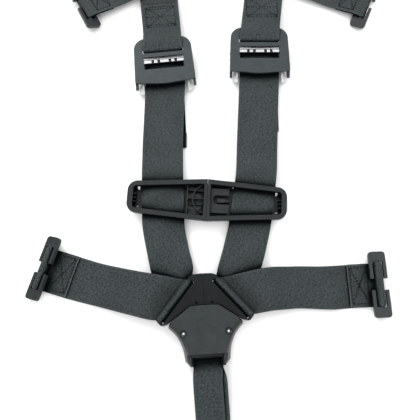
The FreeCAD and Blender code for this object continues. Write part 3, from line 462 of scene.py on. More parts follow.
def webbing_material(name, dark, light):
    """Polyester webbing: a herringbone weave, soft lengthwise bands, denser selvedges, and painted shade that
    darkens colour and gloss in folds.
    """
    g = Graph(name)
    uv = g.add("ShaderNodeUVMap", {"uv_map": "UVMap"}).outputs[0]
    edge_uv = g.add("ShaderNodeUVMap", {"uv_map": "Edge"}).outputs[0]
    flat = g.add("ShaderNodeSeparateXYZ", None, Vector=uv)
    rim = g.add("ShaderNodeSeparateXYZ", None, Vector=edge_uv)
    along = g.math("MULTIPLY", flat.outputs[0], 1 / MM)
    across = g.math("MULTIPLY", flat.outputs[1], 1 / MM)
    inward = g.math("MULTIPLY", rim.outputs[0], 1 / MM)
    zigzag = g.math("PINGPONG", across, HERRINGBONE)
    slant = g.math("ADD", along, g.math("MULTIPLY", zigzag, 1.1))
    phase = g.math("MULTIPLY", slant, 2 * math.pi / RIDGE_PITCH)
    twill = g.math("MULTIPLY_ADD", g.math("SINE", phase), 0.5, 0.5)
    yarn_phase = g.math("MULTIPLY", across, 2 * math.pi / YARN_PITCH)
    yarns = g.math("MULTIPLY_ADD", g.math("SINE", yarn_phase), 0.5, 0.5)
    stretched = g.add("ShaderNodeCombineXYZ")
    g.put(stretched, "X", g.math("MULTIPLY", along, 0.05))
    g.put(stretched, "Y", g.math("MULTIPLY", across, 0.9))
    bands = g.noise(stretched.outputs[0], 1.0, 2.0)
    slanted = g.add("ShaderNodeCombineXYZ")
    g.put(slanted, "X", g.math("MULTIPLY", g.math("ADD", along, across), 0.30))
    g.put(slanted, "Y", g.math("MULTIPLY", g.math("SUBTRACT", along, across), 0.66))
    spots = g.ramp(g.noise(slanted.outputs[0], 1.0, 4.0, 0.7), 0.38, 0.62)
    clouds = g.noise(uv, 38.0, 3.0)
    selvedge = g.ramp(inward, 1.2, 2.4, 1.0, 0.0)
    groove = g.math("MULTIPLY", g.ramp(inward, 2.0, 2.7, 0.0, 1.0), g.ramp(inward, 2.7, 3.5, 1.0, 0.0))
    tone = g.math("ADD", g.math("MULTIPLY", twill, 0.22), g.math("MULTIPLY", spots, 0.75))
    tone = g.math("ADD", tone, g.math("MULTIPLY", bands, 0.16))
    tone = g.math("ADD", tone, g.math("MULTIPLY", clouds, 0.40))
    tone = g.math("SUBTRACT", tone, g.math("MULTIPLY", groove, 0.07))
    tone = g.math("ADD", tone, g.math("MULTIPLY", selvedge, 0.1))
    colour = g.mix(g.ramp(tone, 0.30, 1.15), dark, light)
    # painted shade: colour and gloss are darkened where folds and nearby parts stand close
    unshaded = g.painted_fold_shade(20.0, 0.76, 0.98)
    colour = g.mix(unshaded, FOLD_SHADE_COLOUR, colour)
    height = g.math("ADD", g.math("MULTIPLY", twill, 0.7), g.math("MULTIPLY", yarns, 0.2))
    height = g.math("ADD", height, g.math("MULTIPLY", spots, 1.2))
    height = g.math("SUBTRACT", height, g.math("MULTIPLY", groove, 0.3))
    return g.finish(Base_Color=colour, Roughness=g.ramp(spots, 0.0, 1.0, 0.50, 0.66),
                    Specular_IOR_Level=g.ramp(unshaded, 0.0, 1.0, 0.0, 0.20),
                    Sheen_Weight=0.02, Sheen_Roughness=0.45,
                    Normal=g.bump(height, 0.5, 0.00045))


def hard_material(name, dark, light, rough, grain=900.0, depth=0.12, specular=0.5, coat=0.0):
    """Moulded or coated surface: fine grain, slow changes of tone and gloss, rubbed patches, and painted shade
    that darkens colour and gloss in folds and recesses.
    """
    g = Graph(name)
    place = g.add("ShaderNodeTexCoord").outputs["Object"]
    fine = g.noise(place, grain, 3.0, 0.6)
    slow = g.noise(place, 55.0, 3.0)
    rubbed = g.noise(place, 160.0, 5.0, 0.65)
    tone = g.math("ADD", g.math("MULTIPLY", slow, 0.4), g.math("MULTIPLY", fine, 0.2))
    tone = g.math("ADD", tone, g.math("MULTIPLY", rubbed, 0.4))
    colour = g.mix(g.ramp(tone, 0.38, 0.62), dark, light)
    # painted shade: colour and gloss are darkened in recesses and where nearby parts stand close
    unshaded = g.painted_fold_shade(5.0, 0.25, 0.80)
    colour = g.mix(unshaded, FOLD_SHADE_COLOUR, colour)
    worn = g.ramp(rubbed, 0.4, 0.7, rough - 0.04, rough + 0.05)
    roughness = g.math("ADD", worn, g.math("MULTIPLY", slow, 0.06))
    return g.finish(Base_Color=colour, Roughness=roughness, Coat_Weight=coat, Coat_Roughness=0.16,
                    Specular_IOR_Level=g.ramp(unshaded, 0.0, 1.0, 0.0, specular),
                    Normal=g.bump(fine, depth, 0.0001))


def steel_material(name, colour, rough):
    """Bright metal: fine scratches along x, and slight tarnish."""
    g = Graph(name)
    place = g.add("ShaderNodeTexCoord").outputs["Object"]
    spread = g.add("ShaderNodeMapping", None, Vector=place)
    g.put(spread, "Scale", (60.0, 1800.0, 1800.0))
    lines = g.noise(spread.outputs[0], 1.0, 3.0)
    tarnish = g.noise(place, 220.0, 4.0)
    shade = tuple(0.72 * c for c in colour)
    return g.finish(Base_Color=g.mix(g.ramp(tarnish, 0.35, 0.7), colour, shade), Metallic=1.0,
                    Roughness=g.ramp(lines, 0.2, 0.8, rough - 0.05, rough + 0.12),
                    Normal=g.bump(lines, 0.25, 0.00005))


webbing = webbing_material("webbing", (0.003, 0.0048, 0.0054), (0.050, 0.061, 0.063))
thread_look = hard_material("thread", (0.0024, 0.0032, 0.0032), (0.0096, 0.012, 0.0128), 0.55,
                            2400.0, 0.4, specular=0.16)
buckle_plastic = hard_material("buckle_plastic", (0.0036, 0.0068, 0.0076), (0.0125, 0.0185, 0.020), 0.34,
                               specular=0.14, coat=0.40)
# painted shade: a darker copy of the moulded plastic, for steep walls
steep_wall_shade_plastic = hard_material("steep_wall_shade_plastic", (0.0012, 0.0018, 0.0020), (0.0035, 0.0048, 0.0052), 0.28,
                             specular=0.10)
grip_plastic = hard_material("grip_plastic", (0.0012, 0.002, 0.0024), (0.0048, 0.0064, 0.0072), 0.36,
                             specular=0.11, coat=0.08)
clip_plastic = hard_material("clip_plastic", (0.0048, 0.0072, 0.008), (0.012, 0.016, 0.0176), 0.40,
                             700.0, 0.2, specular=0.26)
button_plastic = hard_material("clip_button_plastic", (0.0048, 0.0056, 0.0056), (0.0104, 0.0112, 0.012), 0.42)
inner_plastic = hard_material("inner_plastic", (0.004, 0.004, 0.0048), (0.008, 0.0088, 0.0096), 0.5)
red_plastic = hard_material("red_plastic", (0.32, 0.0096, 0.008), (0.448, 0.0176, 0.0128), 0.36)
plate_coating = hard_material("plate_coating", (0.016, 0.0216, 0.024), (0.0288, 0.0368, 0.04), 0.40,
                              1300.0, 0.25, specular=0.34)
anchor_coating = hard_material("anchor_coating", (0.013, 0.016, 0.017), (0.024, 0.029, 0.031), 0.34,
                               1100.0, 0.2, specular=0.33)
cut_end = hard_material("cut_end", (0.50, 0.52, 0.52), (0.62, 0.64, 0.64), 0.6)
lug_paint = hard_material("lug_paint", (0.52, 0.54, 0.54), (0.66, 0.68, 0.68), 0.40)
bright_plating = steel_material("bright_plating", (0.64, 0.656, 0.672), 0.16)
plain_steel = steel_material("plain_steel", (0.24, 0.248, 0.264), 0.30)
dark_steel = steel_material("dark_steel", (0.044, 0.048, 0.0512), 0.34)


# ---------------------------------------------------------------- hard parts

WELD = 0.002 * MM  # corners closer than this are one
FLAT = math.radians(0.6)  # faces that turn less than this are one
SHARP = math.radians(38.0)  # edges that turn more than this are rounded


def skin(node_name, material, bevel):
    """A CAD node's surface with its edges rounded, in place of the node."""
    shape = bmesh.new()
    shape.from_mesh(nodes[node_name].data)
    bmesh.ops.remove_doubles(shape, verts=shape.verts, dist=WELD)
    bmesh.ops.dissolve_limit(shape, angle_limit=FLAT, verts=shape.verts, edges=shape.edges)
    bmesh.ops.recalc_face_normals(shape, faces=shape.faces)
    mesh = bpy.data.meshes.new(node_name + "_skin")
    shape.to_mesh(mesh)
    shape.free()
    obj = linked(node_name + "_skin", mesh, material, None)
    if bevel:
        rounding = obj.modifiers.new("edges", "BEVEL")
        rounding.width = bevel * MM
        rounding.segments = 3
        rounding.limit_method = "ANGLE"
        rounding.angle_limit = SHARP
        rounding.use_clamp_overlap = True
    mesh.shade_smooth()
    mesh.set_sharp_from_angle(angle=SHARP)
    if bevel:
        weights = obj.modifiers.new("normals", "WEIGHTED_NORMAL")
        weights.keep_sharp = False
        weights.weight = 80
    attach(obj, body_of_node[node_name])
    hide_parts(node_name)
    return obj


# Each hard node: its finish, and the width of the rounding along its edges
HARD = {
    "buckle_housing": (buckle_plastic, 0.5),
    "buckle_cover": (buckle_plastic, 0.7),
    "left_tongue_grip": (grip_plastic, 0.5),
    "right_tongue_grip": (grip_plastic, 0.5),
    "clip_female": (clip_plastic, 0.6),
    "clip_male": (clip_plastic, 0.6),
    "clip_latch_finger": (clip_plastic, 0.25),
    "clip_button": (button_plastic, 0.3),
    "release_button": (red_plastic, 0.4),
    "ejector": (inner_plastic, 0.3),
    "cover_screws": (bright_plating, 0.2),
    "buckle_frame": (plain_steel, 0.2),
    "latch_leaf": (plain_steel, 0.15),
    "ejector_springs": (plain_steel, 0.0),
    "left_tongue_blade": (bright_plating, 0.25),
    "right_tongue_blade": (bright_plating, 0.25),
}
for side in ("left", "right"):
    HARD[f"{side}_adjuster_plate"] = (plate_coating, 0.45)
    HARD[f"{side}_adjuster_bar"] = (bright_plating, 0.15)
    HARD[f"{side}_adjuster_lever"] = (lug_paint, 0.3)
    HARD[f"{side}_adjuster_pin"] = (plain_steel, 0.2)
    HARD[f"{side}_adjuster_springs"] = (plain_steel, 0.0)
    HARD[f"{side}_hip_anchor"] = (anchor_coating, 0.45)
    HARD[f"{side}_shoulder_anchor"] = (anchor_coating, 0.45)
HARD["crotch_anchor"] = (anchor_coating, 0.45)

skins = {}
for hard_node, (look, rounding_width) in HARD.items():
    # The part's own materials have these names already, so Blender adds a number to them here
    skins[hard_node] = skin(hard_node, look, rounding_width)


def second_finish(obj, material, chosen):
    """Another material on the faces whose middle and normal are chosen, in millimetres."""
    obj.data.materials.append(material)
    for face in obj.data.polygons:
        if chosen(face.center / MM, face.normal):
            face.material_index = 1


STEEP = 0.93  # the z of a normal below which a wall counts as steep
# painted shade: the steep walls of the buckle and the clip get the darker plastic
for hard_node in ("buckle_housing", "buckle_cover", "clip_female", "clip_male"):
    second_finish(skins[hard_node], steep_wall_shade_plastic, lambda middle, normal: abs(normal.z) < STEEP)
# painted highlight: between these heights, in its recess, a cover screw keeps bright plating
SCREW_TOP, SOCKET = 18.95, 18.0  # heights above and below which a cover screw is dark
second_finish(skins["cover_screws"], dark_steel,
              lambda middle, normal: middle.z > SCREW_TOP or middle.z < SOCKET)
NECK_Y, NECK_X = 3.0, 12.5  # a tongue blade is bright only on its neck, inside these
for side in ("left", "right"):
    shape = bmesh.new()
    shape.from_mesh(skins[f"{side}_tongue_blade"].data)
    bmesh.ops.bisect_plane(shape, geom=[*shape.verts, *shape.edges, *shape.faces],
                           plane_co=(0.0, NECK_Y * MM, 0.0), plane_no=(0.0, 1.0, 0.0))
    shape.to_mesh(skins[f"{side}_tongue_blade"].data)
    shape.free()
    second_finish(skins[f"{side}_tongue_blade"], dark_steel,
                  lambda middle, normal: middle.y > NECK_Y or abs(middle.x) > NECK_X)


def blocks(name, spot, ranges):
    """One mesh of separate blocks in a local frame. Each is (x0, x1, y0, y1, z0, z1)."""
    verts, faces = [], []
    for x0, x1, y0, y1, z0, z1 in ranges:
        first = len(verts)
        for z in (z0, z1):
            verts += [(*at(spot, x, y), z) for x, y in ((x0, y0), (x1, y0), (x1, y1), (x0, y1))]
        faces += [tuple(first + k for k in face) for face in
                  ((3, 2, 1, 0), (4, 5, 6, 7), (0, 1, 5, 4), (1, 2, 6, 5), (2, 3, 7, 6), (3, 0, 4, 7))]
    mesh = bpy.data.meshes.new(name)
    mesh.from_pydata([tuple(c * MM for c in v) for v in verts], [], faces)
    return mesh


def rounded(obj, width):
    edges = obj.modifiers.new("edges", "BEVEL")
    edges.width = width * MM
    edges.segments = 2
    edges.limit_method = "ANGLE"
    obj.data.shade_smooth()
    normals = obj.modifiers.new("normals", "WEIGHTED_NORMAL")
    normals.keep_sharp = False


# A dark strip as painted shade in the gap where the two tongues meet, and how far it stays inside the grips' far
# end and top
_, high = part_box("right_tongue_grip")
SEAM_HALF, SEAM_START, SEAM_LOW, SEAM_SHORT, SEAM_SUNK = 0.7, 4.0, 8.0, 0.5, 2.6
seam = (-SEAM_HALF, SEAM_HALF, SEAM_START, high[1] / MM - SEAM_SHORT, SEAM_LOW, high[2] / MM - SEAM_SUNK)
linked("tongue_gap_shade", blocks("tongue_gap_shade", BUCKLE, [seam]), inner_plastic, "harness")

# The clamping bar's polished face: a lip, a dark groove, and a band that four notches cut through. The chrome bar
# itself is dark steel all over as painted shade, so only these blocks on its top stay bright, and the groove and
# notches show dark.
BAR_X, BAR_LOW, BAR_TOP = 26.2, 10.2, 11.25
BAR_LIP, BAR_BAND = (4.35, 5.0), (1.1, 3.85)
NOTCHES, NOTCH_HALF = (-10.6, -4.8, 6.0, 11.5), 1.35
for side, spot in (("left", LEFT_ADJUSTER), ("right", RIGHT_ADJUSTER)):
    parts = [(-BAR_X, BAR_X, *BAR_LIP, BAR_LOW, BAR_TOP)]
    stops = [-BAR_X] + [x + k for x in NOTCHES for k in (-NOTCH_HALF, NOTCH_HALF)] + [BAR_X]
    parts += [(stops[k], stops[k + 1], *BAR_BAND, BAR_LOW, BAR_TOP) for k in range(0, len(stops), 2)]
    face = linked(f"{side}_bar_face", blocks(f"{side}_bar_face", spot, parts), bright_plating, "harness")
    rounded(face, 0.12)
    # painted shade: the whole chrome bar, under its bright top blocks, is dark steel
    second_finish(skins[f"{side}_adjuster_bar"], dark_steel, lambda middle, normal: True)


# ---------------------------------------------------------------- lower straps

def roller_ends(spot, inner_sign):
    """The roller's axis at the strap's inner and outer edge."""
    return [np.array([*at(spot, s * ROLLER_STRAP_HALF, ROLLER_Y), ROLLER_Z])
            for s in (inner_sign, -inner_sign)]


def tongue_ends(sign):
    """The tongue bar's axis at the strap's two edges, top first, and the direction away from the centre."""
    top, bottom = np.array(FOLD_TOP), np.array(FOLD_BOTTOM)
    along = (bottom - top) / np.linalg.norm(bottom - top)
    out = np.array([-along[1], along[0]])
    shift = out * (TONGUE_R + HALF_WEB)
    ends = []
    for point in (top + shift, bottom + shift):
        ends.append(np.array([*at(BUCKLE, sign * point[0], point[1]), TONGUE_Z]))
    return ends, direction(BUCKLE, sign * out[0], out[1])


# A sewn end, measured from its bar: the layer that comes in, the turn round the bar, the layer that goes back
FIRST_LAYER, RING_END, BACK_LAYER = 4.55, 308, 3.14
GOING_BACK = ((3.4, 2.7), (4.6, 3.1), (8.0, 3.13), (SEWN, BACK_LAYER))


def sewn_end(spot, bar_z, y_a, y_b, start, up=1.0, slope=0.0):
    """Both edges of a strap from a place beside an anchor, round its bar and back along itself.
    up is -1 where the strap comes in above the bar."""
    outward, vertical = direction(spot, -1, 0), UP * up

    def row(x, z):
        """The two edges at one distance from the bar, and z from it, away from the incoming layer."""
        return [np.array([*at(spot, x, y), bar_z + up * z - x * slope]) for y in (y_a, y_b)]

    coming = [row(x, -FIRST_LAYER) for x in (start, 12.0, 7.5)]
    axis_a, axis_b = row(0.0, 0.0)
    ring = round_bar(axis_a, axis_b, outward, ANCHOR_R, 0, RING_END, vertical)
    ring_start, ring_end = (ring[0][0], ring[1][0]), (ring[0][-1], ring[1][-1])
    going = [row(x, -z) for x, z in GOING_BACK]
    parts = []
    for first, last, rows in ((None, ring_start, coming), (ring_end, None, going)):
        lines = [[r[side] for r in rows] for side in (0, 1)]
        for side in (0, 1):
            if first is not None:
                lines[side].insert(0, first[side])
            if last is not None:
                lines[side].append(last[side])
        count = max(5, int(length(lines[0]) / STEP))
        parts.append([softened(resampled(line, count), 2.4) for line in lines])
    return chained(parts[0], ring, parts[1])


# The free end: its height on the table, its fold's height and radius, and where it starts and stops rising
TABLE_Z, HEM_Z, HEM_R = 0.75, 1.45, 0.7
RISE_START, RISE_END = 196, 226
PAST_ROLLER, BELOW_TONGUE = 300, -60  # rows beyond both ends of a profile, which hold its last height


def tail(spot, inner_sign, end_y, inner_x, outer_x, tilt):
    """Both edges of the strap's free end: its fold, then up to the roller."""
    inner_end, outer_end = (inner_x, end_y + tilt), (outer_x, end_y - tilt)
    ends = roller_ends(spot, inner_sign)
    centre_a = np.array([inner_end[0], inner_end[1] + TABLE_Z, HEM_Z])
    centre_b = np.array([outer_end[0], outer_end[1] + TABLE_Z, HEM_Z])
    fold = round_bar(centre_a, centre_b, np.array([0.0, -1.0, 0.0]), HEM_R, 180, 0)
    hem = [[fold[side][0] + np.array([0, HEM, 0]), fold[side][0]] for side in (0, 1)]
    hem = [resampled(line, 9) for line in hem]
    plans = [[fold[side][-1][:2], ends[side][:2]] for side in (0, 1)]
    under_roller = ROLLER_Z - ROLLER_R
    profile = [(0, TABLE_Z), (RISE_START, TABLE_Z), (RISE_END, under_roller), (PAST_ROLLER, under_roller)]
    return chained(hem, fold, run(plans[0], plans[1], profile, along_y))


# How the hip part drops behind the tongue's bar: distance from the bar's axis, and greatest height
SAG = ((0.0, 14.25), (1.6, 14.15), (2.4, 13.4), (4.8, 9.7), (6.5, 9.3), (9.0, 9.4),
       (20.0, 12.0), (32.0, 13.6), (40.0, 14.25))
HIP_START = 19.0  # how far from its bar a hip end starts


def sagged(line, axis_end, out):
    """One edge of the hip part, lowered behind the tongue's bar to lie on the strap under it."""
    distance = (line[:, :2] - axis_end[:2]) @ out[:2]
    limit = np.interp(distance, [row[0] for row in SAG], [row[1] for row in SAG])
    lowered = line.copy()
    lowered[:, 2] = np.minimum(line[:, 2], limit)
    return softened(lowered, 0.9)


def lower_strap(sign, adjuster, tail_shape, inner, outer, heights, anchor, upper, lower, hip_heights):
    """Both edges of a whole lower strap from its free end to its hip anchor.
    The inner edge comes first, and it is the hip part's upper edge."""
    inner_sign = -sign
    parts = [tail(adjuster, inner_sign, *tail_shape)]
    ends = roller_ends(adjuster, inner_sign)
    parts.append(round_bar(*ends, direction(adjuster, 0, 1), ROLLER_R, 0, 180))
    (tongue_a, tongue_b), out = tongue_ends(sign)
    plans = []
    for end, side_sign, line, tongue in ((ends[0], inner_sign, inner, tongue_a),
                                         (ends[1], -inner_sign, outer, tongue_b)):
        plans.append([end[:2], at(adjuster, side_sign * STRAP_HALF, -16)] + list(line) + [tongue[:2]])
    rows = [(PAST_ROLLER, ROLLER_Z + ROLLER_R)] + heights + [(BELOW_TONGUE, TONGUE_Z - TONGUE_R)]
    parts.append(run(plans[0], plans[1], rows, along_y))
    parts.append(round_bar(tongue_a, tongue_b, -out, TONGUE_R, 0, 180))
    edge_y = inner_sign * STRAP_HALF
    plans = []
    for tongue, line, y in ((tongue_a, upper, edge_y), (tongue_b, lower, -edge_y)):
        plans.append([tongue[:2]] + list(line) + [at(anchor, SEWN + 4, y), at(anchor, HIP_START, y)])
    rows = [(sign * 220, HALF_WEB)] + hip_heights + [(sign * -20, TONGUE_Z + TONGUE_R)]
    hip = run(plans[0], plans[1], rows, along_x)
    parts.append([sagged(line, tongue, out) for line, tongue in zip(hip, (tongue_a, tongue_b))])
    parts.append(sewn_end(anchor, HIP_BAR_Z, edge_y, -edge_y, HIP_START))
    return chained(*parts)


# Plan points and heights of the straps' middle surface, in millimetres, from the shoulders down and outwards
LEFT_TAIL_Y, RIGHT_TAIL_Y = 152, 170
left_lower = lower_strap(
    -1, LEFT_ADJUSTER, (LEFT_TAIL_Y, -17.6, -55.4, 1.9),
    [(-20.9, 160), (-20.3, 128), (-18.6, 76), (-13.6, 53), (-9.0, 37)],
    [(-58.4, 160), (-58.2, 128), (-56.4, 76), (-51.3, 52), (-47.0, 34)],
    [(222, 7.85), (176, 5.4), (124, 6.95), (112, 6.95), (100, 9.0), (88, 6.95), (76, 6.95), (36, 7.75)],
    LEFT_HIP, [(-57, 34.8), (-93, 43.4)], [(-48.5, -6.4), (-91, 5.0)],
    [(-108, 0.7), (-82, 3.6), (-60, 11.5), (-44, 14.25)])
right_lower = lower_strap(
    1, RIGHT_ADJUSTER, (RIGHT_TAIL_Y, 31.4, 69.4, 0.0),
    [(29.6, 160), (28.3, 126), (20.8, 76), (15.2, 53), (10.4, 37)],
    [(67.4, 160), (65.8, 126), (58.8, 76), (53.2, 52), (48.0, 34)],
    [(232, 7.85), (180, 5.4), (121, 6.95), (108, 6.95), (96, 9.0), (84, 6.95), (72, 6.95), (36, 7.75)],
    RIGHT_HIP, [(55, 38.8), (83, 40.7), (112, 40.6)], [(56, 1.2), (82, 4.1), (112, 2.6)],
    [(124, 0.7), (111, 4.0), (96, 2.6), (76, 5.4), (58, 12.6), (44, 14.25)])


def strap_piece(name, edges, body, phase=0.0):
    return linked(name, strap(name, edges, phase), webbing, body)


left_piece = strap_piece("left_lower_strap", left_lower, "harness")
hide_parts("left_lower_webbing")

# The right strap in three pieces, cut under the chest clip's rims, because its middle moves with the clip
button_low, button_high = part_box("clip_button")
slide = joints["clip_release"]["axis"]
CLIP_TURN = math.atan2(slide[1], slide[0])
CLIP_BUTTON_X = -11.5  # the button's place in the clip's own frame
CUT_INNER, CUT_OUTER = 16.4, 13.0  # the cuts' distances from the clip's middle, at the strap's two edges
clip_spot = (*[(button_low[k] + button_high[k]) / 2 / MM for k in (0, 1)], CLIP_TURN)
clip_spot = (*at(clip_spot, -CLIP_BUTTON_X, 0), CLIP_TURN)
above_clip, rest_of_strap = split(right_lower, clip_spot, CUT_INNER, CUT_OUTER)
in_clip, below_clip = split(rest_of_strap, clip_spot, -CUT_INNER, -CUT_OUTER)
middle_piece = strap_piece("right_clip_strap", in_clip, "clip_male")
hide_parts("right_clip_webbing")
upper_piece = strap_piece("right_upper_strap", above_clip, None)
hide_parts("right_upper_webbing")
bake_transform(upper_piece)
lower_piece = strap_piece("right_lower_strap", below_clip, None)
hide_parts("right_lower_webbing")
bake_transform(lower_piece)

for piece in (left_piece, lower_piece):
    light_end(piece, cut_end)


# ---------------------------------------------------------------- shoulder straps

# Round the adjuster's top bar, as (y, z): the turn itself, and where the two layers leave it
TOP_BAR_TURN = ((13.7, 14.1), (12.6, 13.5), (11.95, 12.3), (12.5, 11.1), (13.7, 10.5))
TURN_END, UNDER_BAR_Z = 15.1, 10.4
SEWN_FOOT, SEWN_TOP = 39.0, 68.5  # from where to where the layers are sewn, above the adjuster's origin
UPPER_FOOT_Z, UPPER_TOP_Z = 9.99, 6.6
UNDER_FOOT_Z, UNDER_TOP_Z = 8.49, 5.1
UPPER_PROFILE = [(TURN_END, 14.3), (20, 15.2), (27, 14.7), (33, 11.8),
                 (SEWN_FOOT, UPPER_FOOT_Z), (SEWN_TOP, UPPER_TOP_Z), (90, 4.0)]
UNDER_PROFILE = [(TURN_END, UNDER_BAR_Z), (27, UNDER_BAR_Z),
                 (SEWN_FOOT, UNDER_FOOT_Z), (SEWN_TOP, UNDER_TOP_Z), (90, 2.3), (400, 2.3)]


def shoulder_strap(adjuster, fold, anchor, anchor_z, left_edge, right_edge):
    """Both edges of a shoulder strap: its sewn layer, round the adjuster's top bar, up to its fold
    and down to its anchor."""
    plans = []
    for edge, fold_end in ((left_edge, fold[0]), (right_edge, fold[1])):
        plans.append([at(adjuster, x, y) for x, y in edge] + [fold_end])

    def from_adjuster(line):
        return local(adjuster, line)[:, 1]

    short = []
    for plan in plans:
        line = resampled(plan, 400)
        short.append(line[from_adjuster(line) <= SEWN_TOP][::-1])
    top = run(short[0], short[1], UPPER_PROFILE, from_adjuster, 3.0)
    bar_turn = []
    for side, edge in enumerate((left_edge, right_edge)):
        points = [[*at(adjuster, edge[0][0], y), z] for y, z in TOP_BAR_TURN]
        bar_turn.append(np.vstack([top[side][-1:], points, [[*plans[side][0], UNDER_BAR_Z]]]))
    under = run(plans[0], plans[1], UNDER_PROFILE, from_adjuster, 3.0)
    ends = [np.array([*end, FOLD_Z]) for end in fold]
    along = (ends[1] - ends[0]) / np.linalg.norm(ends[1] - ends[0])
    out = np.array([-along[1], along[0], 0.0])
    if out[1] < 0:
        out = -out
    turn = round_bar(ends[0], ends[1], out, FOLD_R, 0, 180)

    def from_anchor(line):
        return local(anchor, line)[:, 0]

    near, bend = 20.0, 34.0
    reach = from_anchor(np.array([(np.array(fold[0]) + np.array(fold[1])) / 2]))[0]
    lift = anchor_z + FIRST_LAYER
    rows = [(near, lift - near * SHOULDER_SLOPE), (bend, lift - bend * SHOULDER_SLOPE),
            (reach - 14, FOLD_Z + FOLD_R), (reach + 60, FOLD_Z + FOLD_R)]
    second = run([fold[0], at(anchor, near, UPPER_HALF)], [fold[1], at(anchor, near, -UPPER_HALF)],
                 rows, from_anchor, 3.0)
    end = sewn_end(anchor, anchor_z, UPPER_HALF, -UPPER_HALF, near, -1.0, SHOULDER_SLOPE)
    return chained(top, bar_turn, under, turn, second, end)


left_shoulder = shoulder_strap(LEFT_ADJUSTER, LEFT_FOLD, LEFT_SHOULDER, LEFT_SHOULDER_Z,
                               [(-18.9, TURN_END), (-17.4, 30)], [(19.25, TURN_END), (19.4, 40)])
right_shoulder = shoulder_strap(RIGHT_ADJUSTER, RIGHT_FOLD, RIGHT_SHOULDER, RIGHT_SHOULDER_Z,
                                [(-18.9, TURN_END), (-17.2, 30), (-14.0, 58)],
                                [(19.15, TURN_END), (20.7, 30), (24.2, 58)])
for piece_name, piece_edges, node in (("left_shoulder_strap", left_shoulder, "left_shoulder_webbing"),
                                      ("right_shoulder_strap", right_shoulder, "right_shoulder_webbing")):
    piece = strap_piece(piece_name, piece_edges, "harness", 1.3)
    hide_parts(node)


# ---------------------------------------------------------------- crotch strap

NEAR_DRIFT = ((-131.7, 0.0), (-118, 0.0), (-88, -0.8), (-54, -1.2), (-45, 0.0), (CROTCH_BAR_Y, 0.0))
FAR_DRIFT = ((CROTCH_BAR_Y, 0.0), (-45, 0.0), (-54, 2.9), (-88, 3.1), (-118, 0.0), (-139, 0.0))
NEAR_PROFILE = [(-160, 2.1), (-120, 2.1), (-106, 2.7), (-84, 7.6), (-56, 13.2), (-50, 13.7),
                (-46, 12.6), (-41, 11.3), (-37, 11.5), (-33.4, 13.6), (CROTCH_BAR_Y, 14.15)]
FAR_PROFILE = [(CROTCH_BAR_Y, 7.85), (-42.5, 7.85), (-52, 12.0), (-84, 6.1),
               (-106, 1.2), (-120, HALF_WEB), (-160, HALF_WEB)]
CROTCH_START = 18.9  # how far from its bar the crotch strap's sewn end starts


def from_buckle(line):
    return local(BUCKLE, line)[:, 1]


def drifted(drift):
    """The plans of both edges of a layer that drifts sideways."""
    return [[at(BUCKLE, side * CROTCH_HALF + x, y) for y, x in drift] for side in (-1, 1)]


near_layer = run(*drifted(NEAR_DRIFT), NEAR_PROFILE, from_buckle, 3.0)
crotch_axis = [np.array([*at(BUCKLE, side * CROTCH_HALF, CROTCH_BAR_Y), CROTCH_BAR_Z]) for side in (-1, 1)]
crotch_turn = round_bar(*crotch_axis, direction(BUCKLE, 0, 1), CROTCH_R, 180, 0)
far_layer = run(*drifted(FAR_DRIFT), FAR_PROFILE, from_buckle, 2.2)
crotch_end = sewn_end(CROTCH, CROTCH_Z, CROTCH_HALF, -CROTCH_HALF, CROTCH_START)
crotch_edges = chained(near_layer, crotch_turn, far_layer, crotch_end)
crotch_piece = strap_piece("crotch_strap", crotch_edges, "buckle", 2.1)
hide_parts("crotch_webbing")


# The cover's rolled lower lip, over the crotch strap. It is in the darker grip plastic, as painted shade under the
# cover's edge.
LIP_HALF, LIP_Y, LIP_STATIONS = 13.1, -34.9, 13
LIP_THINNING = 0.35  # the share of its depth that the lip loses at both ends
LIP_OUTLINE = ((0.6, 16.1), (-1.0, 15.8), (-2.3, 16.3), (-2.9, 17.4), (-2.4, 18.6), (-1.0, 19.5), (0.6, 19.8))
lip_verts, lip_faces = [], []
for k in range(LIP_STATIONS):
    share = -1 + 2 * k / (LIP_STATIONS - 1)
    thin = 1 - LIP_THINNING * abs(share) ** 4
    for y, z in LIP_OUTLINE:
        lip_verts.append(tuple(c * MM for c in (*at(BUCKLE, LIP_HALF * share, LIP_Y + y * thin), z)))
size = len(LIP_OUTLINE)
for k in range(LIP_STATIONS - 1):
    for m in range(size):
        n = (m + 1) % size
        lip_faces.append((k * size + m, k * size + n, (k + 1) * size + n, (k + 1) * size + m))
lip_faces += [tuple(range(size))[::-1], tuple((LIP_STATIONS - 1) * size + m for m in range(size))]
lip_mesh = bpy.data.meshes.new("cover_lip")
lip_mesh.from_pydata(lip_verts, [], lip_faces)
# painted shade: the lip is darker than the cover it belongs to
linked("cover_lip", lip_mesh, grip_plastic, "buckle")
lip_mesh.shade_smooth()
lip_mesh.set_sharp_from_angle(angle=math.radians(60))


# ---------------------------------------------------------------- stitching

def on_plane(spot, z0, slope=0.0, axis=0):
    """A flat place of a local frame, whose height changes along one of its axes."""
    def surface(x, y):
        return np.array([*at(spot, x, y), z0 + slope * (x, y)[axis]])
    return surface


